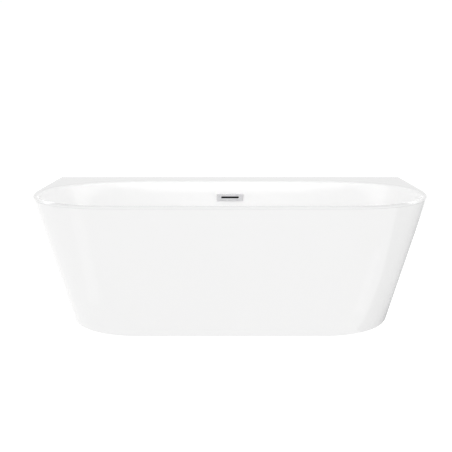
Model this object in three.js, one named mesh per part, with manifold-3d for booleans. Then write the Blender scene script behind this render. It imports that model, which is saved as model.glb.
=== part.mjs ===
// Back-to-wall freestanding bathtub: a white acrylic basin and a tapered acrylic apron on a steel
// cradle with five levelling feet, a chrome slotted overflow, and a lift-up drain plug over a low
// trap. Millimetres, +Z up. X runs along the tub, +Y points at the wall behind it, and the origin
// lies on the floor under the middle of the tub.

import * as THREE from 'three';
import { LoftGeometry } from 'three/addons/geometries/LoftGeometry.js';
import { mergeVertices } from 'three/addons/utils/BufferGeometryUtils.js';
import Module from 'manifold-3d';

const wasm = await Module();
wasm.setup();

// Overall size

const LENGTH = 1700;
const DEPTH = 800;
const HEIGHT = 580;
const WALL_Y = DEPTH / 2;
const GAP = 0.3; // clearance between pieces that touch
const OVERCUT = 10; // how far a cutting tool runs past the face it cuts
const QUARTER_CUT = 1 - Math.SQRT1_2; // how far in the middle of a quarter round lies, per radius

// Apron: a straight taper from the rim down to a smaller base, flat at the wall

const APRON = {
	thickness: 6,
	bottom: 3,
	baseHalfLength: 720,
	baseFrontInset: 115,
	baseCorner: 330,
	baseCornerPower: 2.1,
	rimCorner: 398,
	rimCornerPower: 2.3,
	rearCorner: 8,
	topFlange: 14,
	bottomFlange: 26,
	flangeThickness: 5,
};

const ACCESS = { halfWidth: 540, top: 430, corner: 50, cornerSteps: 6, depth: 40 };

// Rim and basin

const RIM = { edgeHeight: 10, edgeRadius: 6, deckThickness: 5, lipRadius: 8 };
const RIM_SHOULDER = HEIGHT - RIM.edgeRadius; // where the taper ends and the edge starts to round over

const BASIN = {
	thickness: 5,
	topHalfLength: 818,
	topFront: - 376,
	topRear: 255,
	topFrontCorner: { x: 390, y: 325, power: 2.25 },
	topRearCorner: { x: 450, y: 305, power: 2.05 },
	floorHalfLength: 560,
	floorFront: - 250,
	floorRear: 155,
	floorCorner: { x: 230, y: 190, power: 2.2 },
	wallTop: HEIGHT - RIM.lipRadius,
	floorTop: 171,
	underside: 155,
	endSlope: 0.62, // share of an end's inset taken by its straight slope, the rest by the floor curve
	sideSlope: 0.5,
	floorCurvePower: 3.2,
	wallLevels: 7,
};

// Drain

const DRAIN = {
	y: - 45,
	floorTop: 165,
	seatDepth: 3.5,
	seatRadius: 40,
	holeRadius: 27,
	lipRadius: 38,
	lipRise: 0.9,
	lipChamfer: { across: 2, down: 1 },
	lipFlat: 5,
	dishDepth: 2,
	dishFoot: 2,
	throatEdge: 1.5,
	throatRadius: 26,
	throatBore: 22,
	throatBottom: 128,
	sealThickness: 1.2,
	sealInset: 1,
};

// Overflow, on the inner rear wall

const OVERFLOW = {
	z: 502,
	width: 126,
	height: 33,
	depth: 8,
	wall: 2.5,
	cornerRadius: 4,
	slotWidth: 84,
	slotHeight: 9,
	holeWidth: 92,
	holeHeight: 22,
	plateWidth: 118,
	plateCorner: 8,
	insertHeight: 27,
	insertThickness: 2,
	sealHeight: 36,
	sealThickness: 2,
	screwX: 54,
	screwHoleRadius: 2.4,
	toolReach: 30,
	boxDepth: 34,
	boxWall: 3,
	boxCorner: 6,
	flangeThickness: 4,
	spigotTop: 498,
	spigotBottom: 450,
	pipeY: 272,
};

const SCREW = { depth: 12, shankRadius: 2, headRadius: 4, crownRadius: 3.4, sideHeight: 2, crownHeight: 2.3 };
const SEAL_BACK = - BASIN.thickness - OVERFLOW.sealThickness - 2 * GAP;

// Cradle and feet

const BOARD = { thickness: 18, halfLength: 500, front: - 205, rear: 115, corner: 120, holeRadius: 52 };
const RAIL = { size: 25, wall: 2, corner: 3, halfLength: 500, frontY: - 150, rearY: 60 };
const BAR = { width: 40, thickness: 6, corner: 4, x: 440, front: - 240, rear: 215, holeRadius: 6.6 };
const STRAP = { x: - 160, front: - 175, rear: 85 };
const FOOT = {
	frontY: - 215,
	rearY: 190,
	padRadius: 28,
	padEdge: 2,
	skirtTop: 7,
	shoulder: { radius: 24, z: 10 },
	neck: { radius: 13, z: 12 },
	collarRadius: 11,
	padHeight: 18,
	socketFloor: 5,
	socketClearance: 0.4,
	studRadius: 6,
	studPoint: 1.5,
	hexagonRadius: 9,
	hexagonLift: 2,
	hexagonHeight: 6,
};
const NUT = { radius: 11, thickness: 10, boreRadius: 6.4 };

const BOARD_TOP = BASIN.underside - GAP;
const RAIL_TOP = BOARD_TOP - BOARD.thickness - GAP;
const BAR_TOP = RAIL_TOP - RAIL.size - GAP;
const BAR_BOTTOM = BAR_TOP - BAR.thickness;
const STUD_TOP = RAIL_TOP - 3.7; // just below the board

// Pipework under the tub

const PIPE = { radius: 14, bore: 12, bendRadius: 60, runZ: 95, topEntry: 28, lowEntry: 12 };
const TRAP = { radius: 18, bore: 15, bendRadius: 22, lowZ: 24, outletZ: 78, riserX: 72, outletX: 170 };
const SPIGOT = {
	wall: 4,
	clearance: 0.5,
	nutClearance: 0.4,
	nutWall: 3.6,
	nutChamfer: 1,
	nutBelow: 8,
	nutAbove: 12,
};
const WASTE = {
	radius: 34,
	bore: 30.5,
	flangeRadius: 45,
	flangeThickness: 5,
	flangeRoot: 3,
	shoulder: { low: 12, high: 8 },
	floorTop: 76,
	floorBottom: 72,
	branchEnd: 20,
	sealThickness: 3,
};

const WASTE_TOP = BASIN.underside - WASTE.sealThickness - 2 * GAP;
const TRAP_SPIGOT_END = WASTE.floorBottom - TRAP.radius;
const TRAP_TOP = WASTE.floorBottom - 1 - GAP;

// Plug

const GUIDE = { bottom: 140, top: 146, clearance: 0.4, rimWall: 2, hubRadius: 8, hubBore: 4.4, armWidth: 3 };
const PLUG = {
	capRadius: 31,
	capHeight: 5.6,
	capEdge: 1,
	capSideShare: 0.6,
	capShoulder: { radiusShare: 0.8, heightShare: 0.9 },
	stemRadius: 4,
	stopRadius: 6.5,
	stopDrop: 24,
	stopHeight: 12,
	stopTaper: 2,
	headRadius: 9,
	headHeight: 5,
	headTaper: 1,
	sealRadius: 21.4,
	sealClearance: 0.4,
	sealThickness: 2.5,
};
const FLANGE_TOP = DRAIN.floorTop + DRAIN.lipRise;

const CORNER_STEPS = 10;
const POINTS_PER_CORNER = CORNER_STEPS + 1;
const ROUND_STEPS = 24;
const SMALL_ROUND_STEPS = 12;
const SCREW_HOLE_STEPS = 8;
const PAD_STEPS = 16;
const PIPE_SIDES = 12;

const lerp = THREE.MathUtils.lerp;

// Materials

const acrylic = () => new THREE.MeshStandardMaterial( { color: 0xf6f7f7, roughness: 0.12, metalness: 0 } );
const chrome = () => new THREE.MeshStandardMaterial( { color: 0xdadadf, roughness: 0.08, metalness: 1 } );
const zincSteel = () => new THREE.MeshStandardMaterial( { color: 0xb4b7b8, roughness: 0.45, metalness: 0.9 } );
const coatedSteel = () => new THREE.MeshStandardMaterial( { color: 0x8d9296, roughness: 0.5, metalness: 0.6 } );
const chipboard = () => new THREE.MeshStandardMaterial( { color: 0xc9a877, roughness: 0.85, metalness: 0 } );
const whitePlastic = () => new THREE.MeshStandardMaterial( { color: 0xe8e9e6, roughness: 0.4, metalness: 0 } );
const blackPlastic = () => new THREE.MeshStandardMaterial( { color: 0x222324, roughness: 0.55, metalness: 0 } );
const rubber = () => new THREE.MeshStandardMaterial( { color: 0x2b2b2c, roughness: 0.8, metalness: 0 } );

function piece( name, geometry, material, x = 0, y = 0, z = 0 ) {

	const mesh = new THREE.Mesh( geometry, material );
	mesh.name = name;
	mesh.position.set( x, y, z );
	return mesh;

}

// Solids: joining and cutting closed meshes

function toSolid( geometry ) {

	const bare = new THREE.BufferGeometry();
	bare.setAttribute( 'position', geometry.attributes.position );
	bare.setIndex( geometry.index );
	const merged = mergeVertices( bare, 1e-4 );
	const vertProperties = new Float32Array( merged.attributes.position.array );
	const triVerts = new Uint32Array( merged.index.array );
	return new wasm.Manifold( new wasm.Mesh( { numProp: 3, vertProperties, triVerts } ) );

}

function toGeometry( solid ) {

	const mesh = solid.getMesh();
	const geometry = new THREE.BufferGeometry();
	geometry.setAttribute( 'position', new THREE.BufferAttribute( mesh.vertProperties, 3 ) );
	geometry.setIndex( new THREE.BufferAttribute( mesh.triVerts, 1 ) );
	geometry.computeVertexNormals();
	return geometry;

}

// Cut each tool in turn from a body, or join them to it.

function cut( body, ...tools ) {

	return toGeometry( tools.reduce( ( solid, tool ) => solid.subtract( toSolid( tool ) ), toSolid( body ) ) );

}

function join( body, ...others ) {

	return toGeometry( others.reduce( ( solid, other ) => solid.add( toSolid( other ) ), toSolid( body ) ) );

}

// Closed outline of a tub section at one height, counterclockwise from above: four corners that are
// quarters of superellipses, with straight stretches between them.

function outline( form, z ) {

	const points = [];

	for ( let quarter = 0; quarter < 4; quarter ++ ) {

		const atRear = quarter < 2;
		const corner = atRear ? form.rearCorner : form.frontCorner;
		const sideSign = quarter === 0 || quarter === 3 ? 1 : - 1;
		const centreX = sideSign * ( form.halfLength - corner.x );
		const centreY = atRear ? form.rear - corner.y : form.front + corner.y;

		for ( let step = 0; step <= CORNER_STEPS; step ++ ) {

			const angle = ( quarter + step / CORNER_STEPS ) * Math.PI / 2;
			const across = Math.pow( Math.abs( Math.cos( angle ) ), 2 / corner.power );
			const along = Math.pow( Math.abs( Math.sin( angle ) ), 2 / corner.power );
			const x = centreX + corner.x * across * Math.sign( Math.cos( angle ) );
			const y = centreY + corner.y * along * Math.sign( Math.sin( angle ) );
			points.push( new THREE.Vector3( x, y, z ) );

		}

	}

	return points;

}

// Circle with one point for each point of an outline.

function matchingCircle( centreY, radius, z ) {

	const points = [];
	const count = 4 * POINTS_PER_CORNER;

	for ( let i = 0; i < count; i ++ ) {

		const angle = ( i + 0.5 ) / count * 2 * Math.PI;
		points.push( new THREE.Vector3( radius * Math.cos( angle ), centreY + radius * Math.sin( angle ), z ) );

	}

	return points;

}

function blendSections( from, to, share ) {

	return from.map( ( point, i ) => point.clone().lerp( to[ i ], share ) );

}

// A loft whose last section meets its first, so that its skin closes like a bent tube.

function closedLoft( sections ) {

	return new LoftGeometry( [ ...sections, sections[ 0 ] ] );

}

// Solid turned on the Z axis from a profile of [ radius, z ] points that starts and ends on the axis.

function turned( profile, segments = ROUND_STEPS ) {

	const points = profile.map( ( [ radius, z ] ) => new THREE.Vector2( radius, z ) );
	return new THREE.LatheGeometry( points, segments ).rotateX( Math.PI / 2 );

}

// Ring turned from a profile that closes on itself.

function turnedRing( profile, segments = ROUND_STEPS ) {

	return turned( [ ...profile, profile[ 0 ] ], segments );

}

function plainRing( bore, radius, bottom, top, segments = ROUND_STEPS ) {

	return turnedRing( [ [ bore, bottom ], [ radius, bottom ], [ radius, top ], [ bore, top ] ], segments );

}

function cylinder( radius, bottom, top, segments = ROUND_STEPS ) {

	return turned( [ [ 0, bottom ], [ radius, bottom ], [ radius, top ], [ 0, top ] ], segments );

}

function roundedRectangle( width, height, radius ) {

	const shape = new THREE.Shape();
	const right = width / 2 - radius;
	const up = height / 2 - radius;
	shape.absarc( right, up, radius, 0, Math.PI / 2 );
	shape.absarc( - right, up, radius, Math.PI / 2, Math.PI );
	shape.absarc( - right, - up, radius, Math.PI, Math.PI * 1.5 );
	shape.absarc( right, - up, radius, Math.PI * 1.5, Math.PI * 2 );
	shape.closePath();
	return shape;

}

// Oblong hole with nearly half-round ends.

function oblong( width, height ) {

	return roundedRectangle( width, height, height / 2 - 0.5 );

}

function extrude( shape, depth, curveSegments = 3 ) {

	return new THREE.ExtrudeGeometry( shape, { depth, curveSegments, bevelEnabled: false } );

}

// Centre line of a pipe: straight runs between corners, each right-angled corner rounded by an arc.

function pipeRoute( corners, bendRadius, bendSteps = 4 ) {

	const route = [ corners[ 0 ] ];

	for ( let i = 1; i < corners.length - 1; i ++ ) {

		const into = corners[ i ].clone().sub( corners[ i - 1 ] ).normalize();
		const out = corners[ i + 1 ].clone().sub( corners[ i ] ).normalize();
		const centre = corners[ i ].clone().addScaledVector( into, - bendRadius );
		centre.addScaledVector( out, bendRadius );

		for ( let step = 0; step <= bendSteps; step ++ ) {

			const angle = step / bendSteps * Math.PI / 2;
			const point = centre.clone().addScaledVector( out, - bendRadius * Math.cos( angle ) );
			route.push( point.addScaledVector( into, bendRadius * Math.sin( angle ) ) );

		}

	}

	route.push( corners[ corners.length - 1 ] );
	return route;

}

// Circle around each point of a route that lies in the plane with the given normal.

function routeCircles( route, planeNormal, radius ) {

	return route.map( ( centre, i ) => {

		const before = route[ Math.max( i - 1, 0 ) ];
		const after = route[ Math.min( i + 1, route.length - 1 ) ];
		const tangent = after.clone().sub( before ).normalize();
		const side = tangent.clone().cross( planeNormal );
		const points = [];

		for ( let k = 0; k < PIPE_SIDES; k ++ ) {

			const angle = k / PIPE_SIDES * 2 * Math.PI;
			const point = centre.clone().addScaledVector( side, radius * Math.cos( angle ) );
			points.push( point.addScaledVector( planeNormal, - radius * Math.sin( angle ) ) );

		}

		return points;

	} );

}

function bentPipe( route, planeNormal, radius, bore ) {

	const outside = routeCircles( route, planeNormal, radius );
	const inside = routeCircles( route, planeNormal, bore ).reverse();
	return closedLoft( [ ...outside, ...inside ] );

}

// Apron

function apronOutline( z, inset ) {

	const share = Math.min( z / RIM_SHOULDER, 1 );
	const corner = lerp( APRON.baseCorner, APRON.rimCorner, share ) - inset;
	const power = lerp( APRON.baseCornerPower, APRON.rimCornerPower, share );
	const rearCorner = Math.max( APRON.rearCorner - inset, 1 );
	return outline( {
		halfLength: lerp( APRON.baseHalfLength, LENGTH / 2, share ) - inset,
		front: - DEPTH / 2 + lerp( APRON.baseFrontInset, 0, share ) + inset,
		rear: WALL_Y - inset,
		frontCorner: { x: corner, y: corner, power },
		rearCorner: { x: rearCorner, y: rearCorner, power: 2 },
	}, z );

}

function accessCutter() {

	const height = ACCESS.top + OVERCUT;
	const shape = roundedRectangle( 2 * ACCESS.halfWidth, 2 * height, ACCESS.corner );
	const opening = extrude( shape, ACCESS.depth, ACCESS.cornerSteps );
	opening.rotateX( Math.PI / 2 );
	return opening.translate( 0, WALL_Y + OVERCUT, ACCESS.top - height );

}

function outerShell() {

	const top = HEIGHT - RIM.edgeHeight - GAP;
	const flangeUnderside = top - APRON.flangeThickness;
	const bottomFlangeTop = APRON.bottom + APRON.flangeThickness;
	const skin = closedLoft( [
		apronOutline( APRON.bottom, 0 ),
		apronOutline( top, 0 ),
		apronOutline( top, APRON.topFlange ),
		apronOutline( flangeUnderside, APRON.topFlange ),
		apronOutline( flangeUnderside, APRON.thickness ),
		apronOutline( bottomFlangeTop, APRON.thickness ),
		apronOutline( bottomFlangeTop, APRON.bottomFlange ),
		apronOutline( APRON.bottom, APRON.bottomFlange ),
	] );
	return piece( 'outer_shell', cut( skin, accessCutter() ), acrylic() );

}

// Basin and rim, one vacuum-formed shell

function corners( from, to, share, offset ) {

	return {
		x: lerp( from.x, to.x, share ) + offset,
		y: lerp( from.y, to.y, share ) + offset,
		power: lerp( from.power, to.power, share ),
	};

}

// How far a wall has come in at a share of its depth: a straight slope, then a curve into the floor.

function wallInset( depthShare, slope ) {

	const power = BASIN.floorCurvePower;
	const curve = 1 - Math.pow( 1 - Math.pow( depthShare, power ), 1 / power );
	return slope * depthShare + ( 1 - slope ) * curve;

}

function basinOutline( depthShare, offset, z ) {

	const end = wallInset( depthShare, BASIN.endSlope );
	const side = wallInset( depthShare, BASIN.sideSlope );
	return outline( {
		halfLength: lerp( BASIN.topHalfLength, BASIN.floorHalfLength, end ) + offset,
		front: lerp( BASIN.topFront, BASIN.floorFront, side ) - offset,
		rear: lerp( BASIN.topRear, BASIN.floorRear, side ) + offset,
		frontCorner: corners( BASIN.topFrontCorner, BASIN.floorCorner, depthShare, offset ),
		rearCorner: corners( BASIN.topRearCorner, BASIN.floorCorner, depthShare, offset ),
	}, z );

}

// Wall sections from the top down to the edge of the floor, closer together in the floor curve.

function basinWall( offset, topZ, floorZ ) {

	const sections = [];

	for ( let level = 0; level <= BASIN.wallLevels; level ++ ) {

		const share = Math.sin( level / BASIN.wallLevels * Math.PI / 2 );
		sections.push( basinOutline( share, offset, lerp( topZ, floorZ, share ) ) );

	}

	return sections;

}

function innerShell() {

	const underDeck = HEIGHT - RIM.deckThickness;
	const edgeBottom = HEIGHT - RIM.edgeHeight;
	const inside = basinWall( 0, BASIN.wallTop, BASIN.floorTop );
	const outside = basinWall( BASIN.thickness, underDeck, BASIN.underside );
	const seatTop = DRAIN.floorTop - DRAIN.seatDepth;
	const seatEdge = matchingCircle( DRAIN.y, DRAIN.seatRadius, DRAIN.floorTop );
	const floorEdge = inside[ inside.length - 1 ];
	const lipCut = RIM.lipRadius * QUARTER_CUT;
	const edgeCut = RIM.edgeRadius * QUARTER_CUT;

	const skin = closedLoft( [
		matchingCircle( DRAIN.y, DRAIN.holeRadius, BASIN.underside ),
		...outside.reverse(),
		apronOutline( underDeck, APRON.topFlange ),
		apronOutline( edgeBottom, APRON.topFlange ),
		apronOutline( edgeBottom, 0 ),
		apronOutline( RIM_SHOULDER, 0 ),
		apronOutline( HEIGHT - edgeCut, edgeCut ),
		apronOutline( HEIGHT, RIM.edgeRadius ),
		basinOutline( 0, RIM.lipRadius, HEIGHT ),
		basinOutline( 0, lipCut, HEIGHT - lipCut ),
		...inside,
		blendSections( floorEdge, seatEdge, 0.5 ),
		seatEdge,
		matchingCircle( DRAIN.y, DRAIN.seatRadius - 1, seatTop ),
		matchingCircle( DRAIN.y, DRAIN.holeRadius, seatTop ),
	] );

	const holeTools = overflowHoleTools( 0 ).map( ( tool ) => tool.applyMatrix4( overflowFrame().matrix ) );
	return piece( 'inner_shell', cut( skin, ...holeTools ), acrylic() );

}

// Overflow: its own frame lies on the inner rear wall, with Z out into the basin and Y up the wall.

function rearWallLean() {

	const inset = ( BASIN.topRear - BASIN.floorRear ) * BASIN.sideSlope;
	return Math.atan( inset / ( BASIN.wallTop - BASIN.floorTop ) );

}

function overflowFrame() {

	const frame = new THREE.Group();
	const drop = BASIN.wallTop - OVERFLOW.z;
	frame.position.set( 0, BASIN.topRear - drop * Math.tan( rearWallLean() ), OVERFLOW.z );
	frame.rotation.x = Math.PI / 2 - rearWallLean();
	frame.updateMatrix();
	return frame;

}

// Cutting tools for the oblong hole and its two screw holes, through whatever lies on the frame.

function overflowHoleTools( widening ) {

	const { holeWidth, holeHeight, toolReach } = OVERFLOW;
	const hole = extrude( oblong( holeWidth + widening, holeHeight + widening ), 2 * toolReach );
	return [ hole.translate( 0, 0, - toolReach ), ...screwHoleTools() ];

}

function screwHoleTools() {

	const { screwX, screwHoleRadius, toolReach } = OVERFLOW;
	const tool = cylinder( screwHoleRadius, - toolReach, toolReach, SCREW_HOLE_STEPS );
	return [ - screwX, screwX ].map( ( x ) => tool.clone().translate( x, 0, 0 ) );

}

function overflowPlate( height, bottom, thickness, widening ) {

	const plate = extrude( roundedRectangle( OVERFLOW.plateWidth, height, OVERFLOW.plateCorner ), thickness );
	return cut( plate.translate( 0, 0, bottom ), ...overflowHoleTools( widening ) );

}

function overflowCover() {

	const { width, height, wall, cornerRadius, slotHeight } = OVERFLOW;
	const body = extrude( roundedRectangle( width, height, cornerRadius ), OVERFLOW.depth );
	const pocketShape = roundedRectangle( width - 2 * wall, height - 2 * wall, cornerRadius / 2 );
	const pocket = extrude( pocketShape, OVERFLOW.depth - wall + OVERCUT ).translate( 0, 0, - OVERCUT );
	const slot = extrude( oblong( OVERFLOW.slotWidth, slotHeight ), 3 * OVERCUT ).translate( 0, 0, - OVERCUT );
	return piece( 'overflow_cover', cut( body, pocket, slot ), chrome(), 0, 0, GAP );

}

function overflowScrew( name, x ) {

	const head = OVERFLOW.insertThickness + 2 * GAP;
	const { depth, shankRadius, headRadius, crownRadius, sideHeight, crownHeight } = SCREW;
	const profile = [
		[ 0, - depth ], [ shankRadius, - depth ], [ shankRadius, head ], [ headRadius, head ],
		[ crownRadius, head + sideHeight ], [ 0, head + crownHeight ],
	];
	return piece( name, turned( profile, SMALL_ROUND_STEPS ), zincSteel(), x, 0, 0 );

}

function overflowFittings() {

	const frame = overflowFrame();
	const { insertHeight, insertThickness, sealHeight, sealThickness } = OVERFLOW;
	frame.add(
		overflowCover(),
		piece( 'overflow_insert', overflowPlate( insertHeight, GAP, insertThickness, 0 ), blackPlastic() ),
		piece( 'overflow_seal', overflowPlate( sealHeight, SEAL_BACK, sealThickness, 2 ), rubber() ),
		overflowScrew( 'overflow_screw_left', - OVERFLOW.screwX ),
		overflowScrew( 'overflow_screw_right', OVERFLOW.screwX ),
	);
	return frame;

}

// Box behind the rear wall that takes the water from the slot down into the overflow pipe.

function overflowBody() {

	const { holeWidth, holeHeight, boxDepth, boxWall, boxCorner, plateWidth, plateCorner } = OVERFLOW;
	const { sealHeight, flangeThickness, pipeY, spigotBottom, spigotTop } = OVERFLOW;
	const matrix = overflowFrame().matrix;
	const front = SEAL_BACK - GAP;
	const boxShape = roundedRectangle( holeWidth + 2 * boxWall, holeHeight + 2 * boxWall, boxCorner );
	const hollowShape = roundedRectangle( holeWidth, holeHeight, boxCorner - boxWall );
	const box = extrude( boxShape, boxDepth );
	const flange = extrude( roundedRectangle( plateWidth, sealHeight, plateCorner ), flangeThickness );
	const hollow = extrude( hollowShape, boxDepth - boxWall + OVERCUT );
	const spigot = cylinder( PIPE.radius + SPIGOT.wall, spigotBottom, spigotTop );
	const bore = cylinder( PIPE.radius + SPIGOT.clearance, spigotBottom - OVERCUT, spigotTop - boxWall );

	box.translate( 0, 0, front - boxDepth ).applyMatrix4( matrix );
	flange.translate( 0, 0, front - flangeThickness ).applyMatrix4( matrix );
	hollow.translate( 0, 0, front - boxDepth + boxWall ).applyMatrix4( matrix );
	spigot.translate( 0, pipeY, 0 );
	bore.translate( 0, pipeY, 0 );
	const screwHoles = screwHoleTools().map( ( tool ) => tool.applyMatrix4( matrix ) );
	const body = cut( join( box, flange, spigot ), hollow, bore, ...screwHoles );
	return piece( 'overflow_body', body, blackPlastic() );

}

// Compression nut, with its shoulder at Z 0: the spigot enters from above and the pipe from below.

function compressionNut( name, pipeRadius ) {

	const { wall, nutClearance, nutWall, nutChamfer, nutBelow, nutAbove } = SPIGOT;
	const bore = pipeRadius + nutClearance;
	const socket = pipeRadius + wall + nutClearance;
	const outside = socket + nutWall;
	const profile = [
		[ bore, - nutBelow ], [ outside - nutChamfer, - nutBelow ], [ outside, - nutBelow + nutChamfer ],
		[ outside, nutAbove ], [ socket, nutAbove ], [ socket, 0 ], [ bore, 0 ],
	];
	return piece( name, turnedRing( profile ), whitePlastic() );

}

function overflowPiping() {

	const route = pipeRoute( [
		new THREE.Vector3( 0, OVERFLOW.pipeY, OVERFLOW.spigotBottom + PIPE.topEntry ),
		new THREE.Vector3( 0, OVERFLOW.pipeY, PIPE.runZ ),
		new THREE.Vector3( 0, WASTE.branchEnd - PIPE.lowEntry, PIPE.runZ ),
	], PIPE.bendRadius );
	const pipe = bentPipe( route, new THREE.Vector3( 1, 0, 0 ), PIPE.radius, PIPE.bore );
	const topNut = compressionNut( 'overflow_nut_top', PIPE.radius );
	topNut.position.set( 0, OVERFLOW.pipeY, OVERFLOW.spigotBottom - GAP );
	const lowNut = compressionNut( 'overflow_nut_bottom', PIPE.radius );
	lowNut.position.set( 0, WASTE.branchEnd + GAP, PIPE.runZ );
	lowNut.rotation.x = Math.PI / 2;
	return [ piece( 'overflow_pipe', pipe, whitePlastic() ), topNut, lowNut ];

}

// Drain: flange, seals, waste body and trap

function drainFlange() {

	const { throatBore, throatRadius, throatBottom, throatEdge, lipRadius, lipChamfer, lipFlat } = DRAIN;
	const { floorTop, seatDepth, sealThickness, dishDepth, dishFoot } = DRAIN;
	const lipBottom = floorTop - seatDepth + sealThickness + 2 * GAP;
	const flatOutside = lipRadius - lipChamfer.across;
	const profile = [
		[ throatBore, throatBottom ], [ throatRadius, throatBottom ], [ throatRadius, lipBottom ],
		[ lipRadius, lipBottom ], [ lipRadius, FLANGE_TOP - lipChamfer.down ], [ flatOutside, FLANGE_TOP ],
		[ flatOutside - lipFlat, FLANGE_TOP ], [ throatBore + dishFoot, FLANGE_TOP - dishDepth ],
		[ throatBore, FLANGE_TOP - dishDepth - throatEdge ],
	];
	return turnedRing( profile );

}

// Three-armed guide across the throat, bored for the plug's stem.

function plugGuide() {

	const { bottom, top, clearance, rimWall, hubRadius, hubBore, armWidth } = GUIDE;
	const outer = DRAIN.throatBore - clearance;
	const height = top - bottom;
	const reach = outer - rimWall / 2;
	const rim = plainRing( outer - rimWall, outer, bottom, top );
	const arms = [ 0, 1, 2 ].map( ( i ) => {

		const arm = new THREE.BoxGeometry( reach, armWidth, height );
		return arm.translate( reach / 2, 0, bottom + height / 2 ).rotateZ( i / 3 * 2 * Math.PI );

	} );
	const hub = cylinder( hubRadius, bottom, top, SMALL_ROUND_STEPS );
	const bore = cylinder( hubBore, bottom - OVERCUT, top + OVERCUT, SMALL_ROUND_STEPS );
	return cut( join( rim, ...arms, hub ), bore );

}

function wasteBody() {

	const { radius, bore, flangeRadius, flangeThickness, flangeRoot, shoulder, floorTop, floorBottom } = WASTE;
	const { wall, clearance } = SPIGOT;
	const top = WASTE_TOP;
	const spigotRadius = TRAP.radius + wall;
	const passage = DRAIN.throatRadius + clearance;
	const body = turned( [
		[ 0, TRAP_SPIGOT_END ], [ spigotRadius, TRAP_SPIGOT_END ], [ spigotRadius, floorBottom ],
		[ radius, floorBottom ], [ radius, top - flangeThickness - flangeRoot ],
		[ flangeRadius, top - flangeThickness ], [ flangeRadius, top ], [ 0, top ],
	] );
	const cavity = turned( [
		[ 0, floorTop ], [ bore, floorTop ], [ bore, top - shoulder.low ], [ passage, top - shoulder.high ],
		[ passage, top + OVERCUT ], [ 0, top + OVERCUT ],
	] );
	const floorBore = cylinder( TRAP.bore, floorBottom - OVERCUT, floorTop + 1 );
	const spigotBore = cylinder( TRAP.radius + clearance, TRAP_SPIGOT_END - OVERCUT, TRAP_TOP + GAP );
	const branchLength = WASTE.branchEnd - DRAIN.y;
	const branch = cylinder( PIPE.radius + wall, radius / 2, branchLength );
	const branchBore = cylinder( PIPE.radius + clearance, 0, branchLength + OVERCUT );

	for ( const tool of [ branch, branchBore ] ) tool.rotateX( - Math.PI / 2 ).translate( 0, 0, PIPE.runZ );
	const shell = join( cut( body, cavity ), branch );
	return cut( shell, cavity, floorBore, spigotBore, branchBore );

}

function trapPipe() {

	const route = pipeRoute( [
		new THREE.Vector3( 0, 0, TRAP_TOP ),
		new THREE.Vector3( 0, 0, TRAP.lowZ ),
		new THREE.Vector3( TRAP.riserX, 0, TRAP.lowZ ),
		new THREE.Vector3( TRAP.riserX, 0, TRAP.outletZ ),
		new THREE.Vector3( TRAP.outletX, 0, TRAP.outletZ ),
	], TRAP.bendRadius );
	return bentPipe( route, new THREE.Vector3( 0, 1, 0 ), TRAP.radius, TRAP.bore );

}

function drainAndTrap() {

	const drain = new THREE.Group();
	drain.position.y = DRAIN.y;
	const seat = DRAIN.floorTop - DRAIN.seatDepth + GAP;
	const { holeRadius, lipRadius, sealThickness, sealInset } = DRAIN;
	const topSeal = plainRing( holeRadius + sealInset, lipRadius - sealInset, seat, seat + sealThickness );
	const lowRadius = WASTE.flangeRadius - sealInset;
	const lowSeal = plainRing( holeRadius, lowRadius, WASTE_TOP + GAP, BASIN.underside - GAP );
	drain.add(
		piece( 'drain_flange', drainFlange(), chrome() ),
		piece( 'drain_seal_top', topSeal, rubber() ),
		piece( 'drain_seal_bottom', lowSeal, rubber() ),
		piece( 'plug_guide', plugGuide(), whitePlastic() ),
		piece( 'waste_body', wasteBody(), whitePlastic() ),
		piece( 'trap_pipe', trapPipe(), whitePlastic() ),
	);
	const trapNut = compressionNut( 'trap_nut', TRAP.radius );
	trapNut.position.z = TRAP_SPIGOT_END - GAP;
	drain.add( trapNut );
	return drain;

}

// Plug, lifted by hand or by a press on its cap; at rest it is shut.

function plug() {

	const group = new THREE.Group();
	group.position.y = DRAIN.y;
	const bottom = FLANGE_TOP + GAP;
	const { capRadius, capHeight, capEdge, capSideShare, capShoulder } = PLUG;
	const { stemRadius, stopRadius, stopDrop, stopHeight, stopTaper, headRadius, headHeight, headTaper } = PLUG;
	const cap = turned( [
		[ 0, bottom ], [ capRadius - capEdge, bottom ], [ capRadius, bottom + capEdge ],
		[ capRadius - capEdge, bottom + capHeight * capSideShare ],
		[ capRadius * capShoulder.radiusShare, bottom + capHeight * capShoulder.heightShare ],
		[ 0, bottom + capHeight ],
	] );
	const head = bottom - GAP;
	const neck = head - headHeight;
	const stop = GUIDE.bottom - stopDrop;
	const stopTop = stop + stopHeight;
	const stem = turned( [
		[ 0, stop ], [ stopRadius, stop ], [ stopRadius, stopTop ], [ stemRadius, stopTop + stopTaper ],
		[ stemRadius, neck - headTaper ], [ headRadius, neck ], [ headRadius, head ], [ 0, head ],
	], SMALL_ROUND_STEPS );
	const seal = plainRing( headRadius + PLUG.sealClearance, PLUG.sealRadius, head - PLUG.sealThickness, head );
	group.add(
		piece( 'plug_cap', cap, chrome() ),
		piece( 'plug_stem', stem, zincSteel() ),
		piece( 'plug_seal', seal, rubber() ),
	);
	return group;

}

// Cradle under the floor

function baseBoard() {

	const corner = { x: BOARD.corner, y: BOARD.corner, power: 2 };
	const form = { ...BOARD, frontCorner: corner, rearCorner: corner };
	const bottom = BOARD_TOP - BOARD.thickness;
	const board = closedLoft( [
		matchingCircle( DRAIN.y, BOARD.holeRadius, bottom ),
		outline( form, bottom ),
		outline( form, BOARD_TOP ),
		matchingCircle( DRAIN.y, BOARD.holeRadius, BOARD_TOP ),
	] );
	return piece( 'base_board', board, chipboard() );

}

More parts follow.
